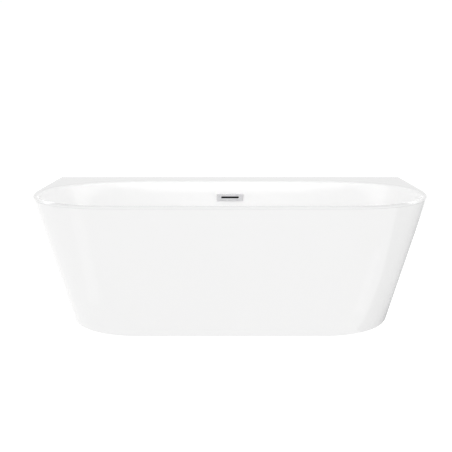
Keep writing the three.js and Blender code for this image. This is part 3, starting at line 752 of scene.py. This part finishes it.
def overflow_matrix():
    """The overflow's own frame on the inner rear wall: Z into the basin, Y up the wall."""
    cover_middle = GAP + COVER_DEPTH / 2
    height = node_centre("overflow_cover").z - math.sin(rear_wall_lean()) * cover_middle
    y = BASIN_TOP["rear"] - (WALL_TOP - height) * math.tan(rear_wall_lean())
    return placing((0, y, height), math.pi / 2 - rear_wall_lean(), "X")


OVERFLOW = overflow_matrix()


def on_wall(z, x=0):
    return OVERFLOW @ Matrix.Translation((x, 0, z))


def overflow_hole(widening=0):
    return rounded_rectangle(HOLE_WIDTH + widening, HOLE_HEIGHT + widening, HOLE_HEIGHT / 2 - 0.5)


def cut_overflow_hole(shell):
    cut_away(shell, prism("overflow_cutter", [overflow_hole()], 60, 0, ACRYLIC, on_wall(-30)))


def overflow_cover():
    """Chrome face with a long slot, hollow behind."""
    slot = rounded_rectangle(SLOT_WIDTH, SLOT_HEIGHT, 3.6)
    face = [rounded_rectangle(COVER_WIDTH, COVER_HEIGHT, 4), slot]
    cover = prism("overflow_face", face, COVER_DEPTH, 0.7, CHROME, on_wall(GAP))
    inside = [rounded_rectangle(COVER_WIDTH - 2 * COVER_WALL, COVER_HEIGHT - 2 * COVER_WALL, 2)]
    reach = 10
    pocket_depth = COVER_DEPTH - COVER_WALL + reach + GAP
    cut_away(cover, prism("pocket", inside, pocket_depth, 0, CHROME, on_wall(-reach)))
    weight_normals(cover)
    return place(cover, "tub", "chrome", "overflow_cover")


def overflow_plates():
    """The black insert behind the slot and the seal behind the wall."""
    for name, node, height, bottom, widening, material, slot in (
        ("overflow_insert_plate", "overflow_insert", 27, GAP, 0, BLACK_PLASTIC, "black_plastic"),
        ("overflow_wall_seal", "overflow_seal", SEAL_HEIGHT, SEAL_BACK, 2, RUBBER, "rubber_seal"),
    ):
        holes = [circle_points((side * SCREW_X, 0), SCREW_HOLE_RADIUS, 16) for side in (-1, 1)]
        loops = [rounded_rectangle(PLATE_WIDTH, height, 8), overflow_hole(widening), *holes]
        plate = prism(name, loops, PLATE_THICKNESS, 0.3, material, on_wall(bottom))
        place(plate, "tub", slot, node)


def overflow_screws():
    for side, word in ((-1, "left"), (1, "right")):
        profile = [(0, -12), (2, -12, 0.4), (2, 2.6), (4, 2.6), (3.4, 4.6, 0.8), (0, 4.9)]
        screw = turned(f"overflow_fixing_{word}", profile, ZINC, radius=0.2, segments=32)
        move(screw, on_wall(0, side * SCREW_X))
        driver_slot = [rounded_rectangle(6, 0.8, 0.2, 3)]
        cut_away(screw, prism("driver_slot", driver_slot, 2, 0, ZINC, on_wall(3.8, side * SCREW_X)))
        place(screw, "tub", "zinc_steel", f"overflow_screw_{word}")


# ---- pipes

NUT_SKIRT = 12
NUT_SHOULDER = node_box("overflow_nut_top")[1].z - NUT_SKIRT
PIPE_Y = node_centre("overflow_nut_top").y
PIPE_RADIUS, PIPE_BORE, PIPE_BEND = 14, 12, 60
PIPE_RUN_Z = node_centre("overflow_nut_bottom").z
BRANCH_END = node_box("overflow_nut_bottom")[0].y + NUT_SKIRT - GAP
TRAP_RADIUS, TRAP_BORE, TRAP_BEND = 18, 15, 22


def pipe_route(corners, bend_radius, bend_steps=16, spacing=400):
    """Centre line of a pipe: straight runs, with each right-angled corner rounded by an arc."""
    route = [Vector(corners[0])]
    for before, corner, after in zip(corners, corners[1:], corners[2:]):
        into = (Vector(corner) - Vector(before)).normalized()
        out = (Vector(after) - Vector(corner)).normalized()
        centre = Vector(corner) - into * bend_radius + out * bend_radius
        for step in range(bend_steps + 1):
            angle = step / bend_steps * math.pi / 2
            arm = into * math.sin(angle) - out * math.cos(angle)
            route.append(centre + arm * bend_radius)
    route.append(Vector(corners[-1]))
    return respaced(route, spacing)


def respaced(route, spacing):
    """The same route with no step longer than the spacing."""
    points = [route[0]]
    for start, end in zip(route, route[1:]):
        pieces = max(1, math.ceil((end - start).length / spacing))
        points += [start.lerp(end, (i + 1) / pieces) for i in range(pieces)]
    return points


def route_rings(route, plane_normal, radii, sides=36):
    rings = []
    for i, centre in enumerate(route):
        tangent = (route[min(i + 1, len(route) - 1)] - route[max(i - 1, 0)]).normalized()
        side = tangent.cross(plane_normal)
        ring = []
        for k in range(sides):
            angle = k / sides * math.tau
            spoke = side * math.cos(angle) - plane_normal * math.sin(angle)
            ring.append(centre + spoke * radii[i])
        rings.append(ring)
    return rings


def bent_pipe(name, route, plane_normal, radii, bore, material):
    outside = route_rings(route, plane_normal, radii)
    inside = route_rings(route, plane_normal, [bore] * len(route))[::-1]
    return loft_object(name, outside + inside, [material])


def corrugated_radii(route, radius, pitch, depth, cuff):
    """Radii of a ribbed hose whose two ends are plain cuffs."""
    lengths = [0.0]
    for start, end in zip(route, route[1:]):
        lengths.append(lengths[-1] + (end - start).length)
    radii = []
    for length in lengths:
        in_cuff = length < cuff or length > lengths[-1] - cuff
        wave = 0 if in_cuff else (1 - math.cos(length / pitch * math.tau)) / 2
        radii.append(radius - depth * wave)
    return radii


def overflow_body():
    """Moulded box behind the rear wall that leads the water from the slot down to the hose."""
    plastic = BLACK_PLASTIC
    front, depth, wall, flange = SEAL_BACK - GAP, 34, 3, 4
    back = front - depth
    low, high = NUT_SHOULDER + GAP, 498
    on_pipe = (0, PIPE_Y, 0)
    body = [rounded_rectangle(HOLE_WIDTH + 2 * wall, HOLE_HEIGHT + 2 * wall, 6)]
    box = prism("overflow_box", body, depth, 1, plastic, on_wall(back))
    rim = [rounded_rectangle(PLATE_WIDTH, SEAL_HEIGHT, 8)]
    join_on(box, prism("box_flange", rim, flange, 0.6, plastic, on_wall(front - flange)))
    spigot = ring_profile(0, 18, low, high)
    join_on(box, turned("box_spigot", spigot, plastic, centre=on_pipe))
    hollow = [rounded_rectangle(HOLE_WIDTH, HOLE_HEIGHT, 4)]
    cut_away(box, prism("box_hollow", hollow, depth + 7, 0, plastic, on_wall(back + wall)))
    bore = ring_profile(0, PIPE_RADIUS + 0.5, low - 10, high - wall)
    cut_away(box, turned("spigot_bore", bore, plastic, radius=0, centre=on_pipe))
    for side in (-1, 1):
        screw_bore = turned("screw_bore", ring_profile(0, SCREW_HOLE_RADIUS, -30, 30), plastic, 0, 24)
        move(screw_bore, on_wall(0, side * SCREW_X))
        cut_away(box, screw_bore)
    return place(box, "tub", "black_plastic", "overflow_body")


def compression_nut(name, node, pipe_radius, centre, axis="Z"):
    """Hand-tightened nut with finger grips; its shoulder lies at Z 0 of its own axis."""
    bore, socket = pipe_radius + 0.4, pipe_radius + 4.4
    outside = socket + 3.6
    end = outside - 0.9
    profile = [
        (bore, -8, 0.3), (outside - 2, -8), (outside, -6.4), (outside, NUT_SKIRT - 3), (end, NUT_SKIRT - 2),
        (end, NUT_SKIRT), (socket, NUT_SKIRT, 0.3), (socket, 0, 0.3), (bore, 0, 0.3),
    ]
    grip = {"count": 18, "depth": 1.1, "from_radius": socket + 1, "below": 9.5}
    nut = turned(name, profile, WHITE_PLASTIC, 0.8, 144, centre, axis, grip=grip)
    return place(nut, "tub", "white_plastic", node)


def overflow_piping():
    """The ribbed hose from the overflow down to the waste, with a nut at each end."""
    start_z = node_box("overflow_pipe")[1].z
    pipe_end = BRANCH_END - 12
    corners = [(0, PIPE_Y, start_z), (0, PIPE_Y, PIPE_RUN_Z), (0, pipe_end, PIPE_RUN_Z)]
    pitch, depth, cuff = 5, 1.5, 32
    route = pipe_route(corners, PIPE_BEND, 76, pitch / 4)
    radii = corrugated_radii(route, PIPE_RADIUS, pitch, depth, cuff)
    pipe = bent_pipe("overflow_hose", route, Vector((1, 0, 0)), radii, PIPE_BORE, WHITE_PLASTIC)
    place(pipe, "tub", "white_plastic", "overflow_pipe")
    top, low = (0, PIPE_Y, NUT_SHOULDER), (0, BRANCH_END + GAP, PIPE_RUN_Z)
    compression_nut("overflow_coupling_top", "overflow_nut_top", PIPE_RADIUS, top)
    compression_nut("overflow_coupling_low", "overflow_nut_bottom", PIPE_RADIUS, low, "-Y")


# ---- drain, waste and plug

FLANGE_TOP = node_box("drain_flange")[1].z
THROAT_BOTTOM = node_box("drain_flange")[0].z
WASTE_TOP = node_box("waste_body")[1].z
WASTE_FLOOR_TOP, WASTE_FLOOR_BOTTOM = 76, 72
SPIGOT_END = node_box("waste_body")[0].z
ON_DRAIN = (0, DRAIN_Y, 0)


def drain_flange():
    lip_bottom = node_box("drain_seal_top")[1].z + GAP
    throat, neck, lip = 22, 26, 38
    profile = [
        (throat, THROAT_BOTTOM), (neck, THROAT_BOTTOM), (neck, lip_bottom, 0.3), (lip, lip_bottom, 0.3),
        (lip, FLANGE_TOP - 0.9), (lip - 1.4, FLANGE_TOP, 0.5), (31, FLANGE_TOP, 0.4),
        (24, FLANGE_TOP - 2, 2), (throat, FLANGE_TOP - 3.5, 2),
    ]
    flange = turned("waste_flange", profile, CHROME, 0.5, 128, ON_DRAIN)
    place(flange, "tub", "chrome", "drain_flange")


def drain_seals():
    for name, node, bore, radius in (("waste_gasket_top", "drain_seal_top", 28, 37),
                                     ("waste_gasket_low", "drain_seal_bottom", 27, 44)):
        low, high = node_box(node)
        profile = ring_profile(bore, radius, low.z, high.z)
        place(turned(name, profile, RUBBER, 0.35, 96, ON_DRAIN), "tub", "rubber_seal", node)


def plug_guide():
    """Three-armed guide across the throat, bored for the plug's stem."""
    low, high = node_box("plug_guide")
    bottom, top = low.z, high.z
    outer, hub, bore, arm_width = 21.6, 8, 4.4, 3
    ring = ring_profile(outer - 2, outer, bottom, top)
    guide = turned("stem_guide", ring, WHITE_PLASTIC, 0.3, 72)
    arm_loop = ring_profile(0, outer - 1, -arm_width / 2, arm_width / 2)
    for i in range(3):
        turn = placing((0, 0, bottom), i / 3 * math.tau)
        join_on(guide, prism("arm", [arm_loop], top - bottom, 0.3, WHITE_PLASTIC, turn))
    join_on(guide, turned("hub", ring_profile(0, hub, bottom, top), WHITE_PLASTIC, 0.4, 48))
    hole = ring_profile(0, bore, bottom - 5, top + 5)
    cut_away(guide, turned("hub_bore", hole, WHITE_PLASTIC, 0, 48))
    move(guide, Matrix.Translation(ON_DRAIN))
    place(guide, "tub", "white_plastic", "plug_guide")


def waste_body():
    """Moulded cup under the drain with a branch for the overflow and a spigot for the trap."""
    floor_top, floor_bottom, radius, flange = WASTE_FLOOR_TOP, WASTE_FLOOR_BOTTOM, 34, 45
    spigot, cavity_radius, neck = TRAP_RADIUS + 4, 30.5, 26.5
    outside = [
        (0, SPIGOT_END), (spigot, SPIGOT_END), (spigot, floor_bottom, 1.5), (radius, floor_bottom, 4),
        (radius, WASTE_TOP - 8, 2), (flange, WASTE_TOP - 5), (flange, WASTE_TOP), (0, WASTE_TOP),
    ]
    cavity = [
        (0, floor_top), (cavity_radius, floor_top, 3), (cavity_radius, WASTE_TOP - 12),
        (neck, WASTE_TOP - 8), (neck, WASTE_TOP + 10), (0, WASTE_TOP + 10),
    ]
    length = BRANCH_END - DRAIN_Y
    branch = ring_profile(0, PIPE_RADIUS + 4, radius / 2, length)
    branch_bore = ring_profile(0, PIPE_RADIUS + 0.5, 0, length + 10)
    floor_bore = ring_profile(0, TRAP_BORE, floor_bottom - 2, floor_top + 2)
    spigot_bore = ring_profile(0, TRAP_RADIUS + 0.5, SPIGOT_END - 10, floor_bottom - 1)
    rearward = placing((0, 0, PIPE_RUN_Z), -math.pi / 2, "X")
    body = turned("waste_cup", outside, WHITE_PLASTIC, 0.8, 96)
    branch_piece = turned("branch", branch, WHITE_PLASTIC, 0.8, 72)
    move(branch_piece, rearward)
    join_on(body, branch_piece)
    for profile, rounding in ((cavity, 0.5), (floor_bore, 0), (spigot_bore, 0)):
        cut_away(body, turned("hollow", profile, WHITE_PLASTIC, rounding, 96))
    bore_piece = turned("branch_bore", branch_bore, WHITE_PLASTIC, 0, 72)
    move(bore_piece, rearward)
    cut_away(body, bore_piece)
    move(body, Matrix.Translation(ON_DRAIN))
    place(body, "tub", "white_plastic", "waste_body")


def trap():
    """A low trap: down, along, up again and out to the right, in one bent pipe."""
    low, high = node_box("trap_pipe")
    start_z = WASTE_FLOOR_BOTTOM - 1 - GAP
    low_z = low.z + TRAP_RADIUS
    outlet_z, riser_x = 78, 72
    stations = [(0, start_z), (0, low_z), (riser_x, low_z), (riser_x, outlet_z), (high.x, outlet_z)]
    route = pipe_route([(x, DRAIN_Y, z) for x, z in stations], TRAP_BEND, 14)
    radii = [TRAP_RADIUS] * len(route)
    pipe = bent_pipe("trap_bend", route, Vector((0, 1, 0)), radii, TRAP_BORE, WHITE_PLASTIC)
    place(pipe, "tub", "white_plastic", "trap_pipe")
    compression_nut("trap_coupling", "trap_nut", TRAP_RADIUS, (0, DRAIN_Y, SPIGOT_END - GAP))


def plug():
    """A domed cap on a stem, with the seal clamped under it."""
    low, high = node_box("plug_cap")
    radius = high.x
    cap = [
        (0, low.z), (radius - 1, low.z, 0.4), (radius, low.z + 1), (radius - 0.6, low.z + 3, 1.5),
        (radius * 0.84, high.z - 0.7, 5), (radius * 0.4, high.z - 0.1, 3), (0, high.z),
    ]
    cap_piece = turned("stopper_cap", cap, CHROME, 0.6, 128, ON_DRAIN, steps=8)
    place(cap_piece, "plug", "chrome", "plug_cap")
    low, high = node_box("plug_stem")
    stop, stem, head = 6.5, 4, 9
    profile = [
        (0, low.z), (stop, low.z), (stop, low.z + 12), (stem, low.z + 14), (stem, high.z - 6),
        (head, high.z - 5, 0.3), (head, high.z, 0.2), (0, high.z),
    ]
    place(turned("stopper_stem", profile, ZINC, 0.5, 48, ON_DRAIN), "plug", "zinc_steel", "plug_stem")
    low, high = node_box("plug_seal")
    profile = ring_profile(head + 0.4, high.x, low.z, high.z)
    place(turned("stopper_seal", profile, RUBBER, 0.8, 96, ON_DRAIN), "plug", "rubber_seal", "plug_seal")


# ---- cradle

RAIL_SIZE, RAIL_WALL, RAIL_CORNER = 25, 2, 3


def base_board():
    low, high = node_box("base_board")
    corner = (120, 120, 2)
    form = {
        "half_length": high.x,
        "front": low.y,
        "rear": high.y,
        "front_corner": corner,
        "rear_corner": corner,
    }
    edge = [(point.x, point.y) for point in outline(form, 0)]
    hole = circle_points((0, DRAIN_Y), 52, 96)
    board = prism("floor_panel", [edge, hole], high.z - low.z, 0.8, BOARD, placing((0, 0, low.z)))
    place(board, "tub", "base_panel", "base_board")


def rails():
    """Square steel tubes along the tub."""
    hollow = RAIL_SIZE - 2 * RAIL_WALL
    outside = rounded_rectangle(RAIL_SIZE, RAIL_SIZE, RAIL_CORNER, 5)
    loops = [outside, rounded_rectangle(hollow, hollow, 1, 5)]
    for node in ("rail_front", "rail_rear"):
        low, high = node_box(node)
        centre = node_centre(node)
        turn = placing((low.x, centre.y, centre.z), math.pi / 2, "Y")
        tube = prism(f"tube_{node}", loops, high.x - low.x, 0.2, STEEL, turn)
        place(tube, "tub", "coated_steel", node)


def flat_bars():
    """Flat steel across the tub, drilled where a stud goes through."""
    hole_radius = 6.6
    for node in ("crossbar_left", "crossbar_right", "centre_strap"):
        low, high = node_box(node)
        centre = node_centre(node)
        loops = [rounded_rectangle(high.x - low.x, high.y - low.y, 4)]
        for foot in FOOT_NAMES:
            stud = node_centre(f"{foot}_stud")
            if low.x < stud.x < high.x:
                hole_centre = (stud.x - centre.x, stud.y - centre.y)
                loops.append(circle_points(hole_centre, hole_radius, 48))
        centre.z = low.z
        bar = prism(f"flat_{node}", loops, high.z - low.z, 0.5, STEEL, placing(centre))
        place(bar, "tub", "coated_steel", node)


# ---- levelling feet

FOOT_NAMES = ("foot_front_left", "foot_front_right", "foot_rear_left", "foot_rear_right", "foot_centre")
STUD_RADIUS = 6
THREAD_PITCH = 1.75
THREAD_DEPTH = 0.95
NUT_RADIUS = 11


def hexagon_radius(radius, angle):
    """Distance from the centre of a hexagon to its side in one direction; a corner lies at angle 0."""
    sector = math.pi / 3
    return radius * math.cos(sector / 2) / math.cos(angle % sector - sector / 2)


def polar_rings(rows, segments):
    """Rings from (height, radius at an angle) rows."""
    rings = []
    for height, radius_at in rows:
        ring = []
        for i in range(segments):
            angle = i / segments * math.tau
            r = radius_at(angle)
            ring.append(Vector((r * math.cos(angle), r * math.sin(angle), height)))
        rings.append(ring)
    return rings


def hexagonal(radius, limit):
    """A hexagon's radius held under a limit, as its chamfer does."""
    return lambda angle: min(hexagon_radius(radius, angle), limit)


def steady(radius):
    return lambda angle: radius


def move_over(obj, node):
    """Moves an object modelled round the Z axis onto a node's own axis."""
    centre = node_centre(node)
    move(obj, Matrix.Translation((centre.x, centre.y, 0)))


def hex_nut(name, node, body):
    """Hexagon nut with chamfered corners and a countersunk bore."""
    low, high = node_box(node)
    bore, chamfer, countersink = STUD_RADIUS + 0.4, 0.9, 0.7
    flat = NUT_RADIUS * math.cos(math.pi / 6)
    face, chamfered, full = (hexagonal(NUT_RADIUS, limit) for limit in (flat * 0.99, flat * 1.06, NUT_RADIUS))
    rows = [
        (low.z, face),
        (low.z + chamfer * 0.4, chamfered),
        (low.z + chamfer, full),
        (high.z - chamfer, full),
        (high.z - chamfer * 0.4, chamfered),
        (high.z, face),
        (high.z, steady(bore + countersink)),
        (high.z - countersink, steady(bore)),
        (low.z + countersink, steady(bore)),
        (low.z, steady(bore + countersink)),
    ]
    nut = loft_object(name, polar_rings(rows, 120), [ZINC])
    move_over(nut, node)
    place(nut, body, "zinc_steel", node)


def threaded_stud(name, node, body, pad_top):
    """Stud with a plain lower end, a hexagon for the spanner and a real helical thread above it."""
    low, high = node_box(node)
    point, chamfer, core = 0.02, 0.6, STUD_RADIUS - THREAD_DEPTH
    hexagon = STUD_RADIUS + 3
    hexagon_low, hexagon_high = pad_top + 2, pad_top + 8
    face, full = hexagonal(hexagon, hexagon * 0.88), hexagonal(hexagon, hexagon)
    rows = [
        (low.z, steady(point)),
        (low.z, steady(STUD_RADIUS - chamfer)),
        (low.z + chamfer, steady(STUD_RADIUS)),
        (hexagon_low, steady(STUD_RADIUS)),
        (hexagon_low, face),
        (hexagon_low + chamfer, full),
        (hexagon_high - chamfer, full),
        (hexagon_high, face),
        (hexagon_high, steady(core)),
        (hexagon_high + 1.5, steady(core)),
    ]
    start, end, rings_per_turn = hexagon_high + 1.6, high.z - 0.4, 8
    count = int((end - start) / THREAD_PITCH * rings_per_turn)
    for i in range(count + 1):
        z = lerp(start, end, i / count)
        rows.append((z, thread_radius(z, start, high.z)))
    rows += [(high.z, steady(core - 0.4)), (high.z, steady(point))]
    stud = loft_object(name, polar_rings(rows, 36), [ZINC])
    move_over(stud, node)
    place(stud, body, "zinc_steel", node)


def thread_radius(z, start, top):
    """Radius round the thread at one height; the thread fades at both ends."""
    fade = min(1, (z - start) / THREAD_PITCH, (top - z) / THREAD_PITCH)

    def radius_at(angle):
        phase = (z / THREAD_PITCH - angle / (math.tau)) % 1
        ridge = min(1, max(0, 1.25 * (1 - abs(2 * phase - 1)) - 0.1))
        return STUD_RADIUS - THREAD_DEPTH + THREAD_DEPTH * ridge * fade

    return radius_at


def foot_pad(name, node, body):
    """Ribbed plastic pad with a socket for the stud."""
    low, high = node_box(node)
    radius, socket, socket_floor = 28, STUD_RADIUS + 0.4, 5
    profile = [
        (0, low.z), (radius - 2, low.z, 0.5), (radius, low.z + 2, 1.5), (radius, low.z + 7),
        (radius - 4, 10, 2), (13, 12, 2), (11, high.z, 0.8), (socket, high.z, 0.5),
        (socket, socket_floor), (0, socket_floor),
    ]
    grip = {"count": 36, "depth": 0.7, "from_radius": radius - 3, "below": 8}
    centre = node_centre(node)
    pad = turned(name, profile, BLACK_PLASTIC, 0.8, 144, (centre.x, centre.y, 0), grip=grip)
    place(pad, body, "black_plastic", node)
    return high.z


def feet():
    for foot in FOOT_NAMES:
        pad_top = foot_pad(f"{foot}_disc", f"{foot}_pad", foot)
        threaded_stud(f"{foot}_thread", f"{foot}_stud", foot, pad_top)
        hex_nut(f"{foot}_welded", f"{foot}_weld_nut", "tub")
        hex_nut(f"{foot}_locking", f"{foot}_lock_nut", "tub")


# ---- stage, light, camera

FLOOR_GLOW = 0.99
SKY_WHITE = 1.02
SKY = 0.72
OVERHEAD_POWER = 15
BASIN_STRIP_POWER = 1.62
FILL_POWER = 2.2
# Glow of the boards that paint highlights into the apron's reflection.
HIGHLIGHT_BOARD_GLOW = 0.8
FRONT_POWER = 10.8


def build_stage():
    """A wide white floor that glows like a lit sweep, so that it runs into the background."""
    half = 40
    floor = stage_panel("floor", [(-half, -half), (half, -half), (half, half), (-half, half)], 0)
    surface = Surface("white_floor", roughness=0.9)
    grain = surface.noise(1.5, 2.0)
    surface.colour(surface.mix(grain, (0.14, 0.14, 0.14), (0.16, 0.16, 0.16)))
    surface.glow(FLOOR_GLOW)
    floor.data.materials.append(surface.material)


def stage_panel(name, corners, z):
    mesh = bpy.data.meshes.new(name)
    mesh.from_pydata([(x, y, z) for x, y in corners], [], [tuple(range(len(corners)))])
    panel = add_to_scene(bpy.data.objects.new(name, mesh))
    return panel


def reflected_panel(name, corners, material):
    """A panel laid on the floor beside the tub that shows only as a reflection in its apron."""
    panel = stage_panel(name, corners, 0.002)
    panel.data.materials.append(material)
    panel.visible_camera = False
    panel.visible_diffuse = False
    panel.visible_shadow = False


def painted_floor_shadow():
    """Painted shadow of the tub on the floor, seen only in the apron's reflection: dark grey along its front
    edge and paler towards the back and the right.
    """
    rightward = 0.42
    surface = Surface("painted_floor_shadow", roughness=0.9)
    split = add_node(surface.tree, "SeparateXYZ", Vector=surface.coordinates).outputs
    lean = calculate(surface.tree, "MULTIPLY_ADD", split["X"], rightward, split["Y"])
    grade = surface.remap(lean, 0, 1, 0.12, 0.5)
    surface.colour(surface.mix(grade, (0.32, 0.32, 0.32), (0.58, 0.58, 0.58)))
    return surface.material


def glowing_highlight_board():
    # A glowing board that is no lamp: it paints a highlight streak into the apron's ends, seen only as a
    # reflection.
    surface = Surface("glowing_highlight_board", roughness=0.8)
    surface.colour(surface.mix(surface.noise(3), (0.8, 0.8, 0.8), (0.85, 0.85, 0.85)))
    surface.glow(HIGHLIGHT_BOARD_GLOW)
    return surface.material


def build_reflections():
    """A dark sheet on the floor as the tub's painted shadow, darkening the right end's reflection, and a
    glowing board beside each end for a painted highlight.
    """
    shadow_front_edge = [(0.56, -0.27), (0.99, -0.30), (1.24, -0.40), (1.55, -0.62), (2.6, -1.5)]
    shadow_back_edge = [(2.6, 1.6), (0.60, 1.6)]
    # Dark sheet where the tub's shadow on the floor would lie: a painted shadow that darkens the right end's
    # reflection.
    reflected_panel("painted_shadow_panel", shadow_front_edge + shadow_back_edge, painted_floor_shadow())
    board = glowing_highlight_board()
    left = [(-0.68, -0.36), (-0.80, -0.28), (-1.45, -0.78), (-1.25, -1.05)]
    right = [(0.60, -0.36), (0.66, -0.31), (1.10, -0.52), (1.02, -0.64)]
    # Glowing boards beside each end: painted highlights in the apron's reflection.
    reflected_panel("highlight_board_left", left, board)
    reflected_panel("highlight_board_right", right, board)


def build_world():
    """White low down behind the tub, and an even grey-white everywhere else."""
    world = bpy.data.worlds.new("studio")
    bpy.context.scene.world = world
    world.use_nodes = True
    tree = world.node_tree
    direction = add_node(tree, "TexCoord").outputs["Generated"]
    split = add_node(tree, "SeparateXYZ", Vector=direction).outputs
    low_down = map_range(tree, split["Z"], 0.115, 0.2, 1, 0, "SMOOTHSTEP")
    behind = map_range(tree, split["Y"], -0.1, 0.3, 0, 1, "SMOOTHSTEP")
    white = calculate(tree, "MULTIPLY", low_down, behind)
    strength = map_range(tree, white, 0, 1, SKY, SKY_WHITE, "SMOOTHSTEP")
    background = tree.nodes["Background"]
    fill(tree, background.inputs["Strength"], strength)
    background.inputs["Color"].default_value = (1, 1, 1, 1)


def area_light(name, position, target, size, power):
    data = bpy.data.lights.new(name, "AREA")
    data.shape = "RECTANGLE"
    data.size, data.size_y = size
    data.energy = power
    light = bpy.data.objects.new(name, data)
    light.location = position
    light.rotation_euler = (Vector(target) - Vector(position)).to_track_quat("-Z", "Y").to_euler()
    light.visible_camera = False
    return add_to_scene(light)


def build_lights():
    """A softbox overhead, a strip over the basin, a soft fill, and a panel seen only as a reflection."""
    area_light("overhead_softbox", (-0.3, -1.1, 3.4), (0, 0, 0.5), (3.2, 2.0), OVERHEAD_POWER)
    area_light("basin_strip", (0, -0.27, 0.72), (0, 0.25, 0.50), (1.5, 0.28), BASIN_STRIP_POWER)
    fill = area_light("front_fill", (0, -1.5, 1.7), (0, -0.38, 0.5), (2.4, 0.6), FILL_POWER)
    fill.visible_glossy = False
    panel = area_light("front_panel", (0, -4.4, 0.47), (0, 0, 0.45), (2.56, 1.0), FRONT_POWER)
    panel.visible_diffuse = False


def build_camera():
    """A little above the rim, straight on, as in a catalogue picture."""
    data = bpy.data.cameras.new("camera")
    data.sensor_width = 36
    data.lens = 51.72
    data.shift_x = -0.009
    camera = bpy.data.objects.new("camera", data)
    distance, height, pitch = 3.251, 1.051, math.radians(12.58)
    camera.location = (0, WALL_Y * MM - distance, height)
    camera.rotation_euler = (math.pi / 2 - pitch, 0, 0)
    bpy.context.scene.camera = add_to_scene(camera)


build_camera()
build_stage()
build_reflections()
build_world()
build_lights()
bpy.context.scene.view_settings.view_transform = "Standard"

inner_shell()
apron_shell()
overflow_cover()
overflow_plates()
overflow_screws()
overflow_body()
overflow_piping()
drain_flange()
drain_seals()
plug_guide()
waste_body()
trap()
plug()
base_board()
rails()
flat_bars()
feet()
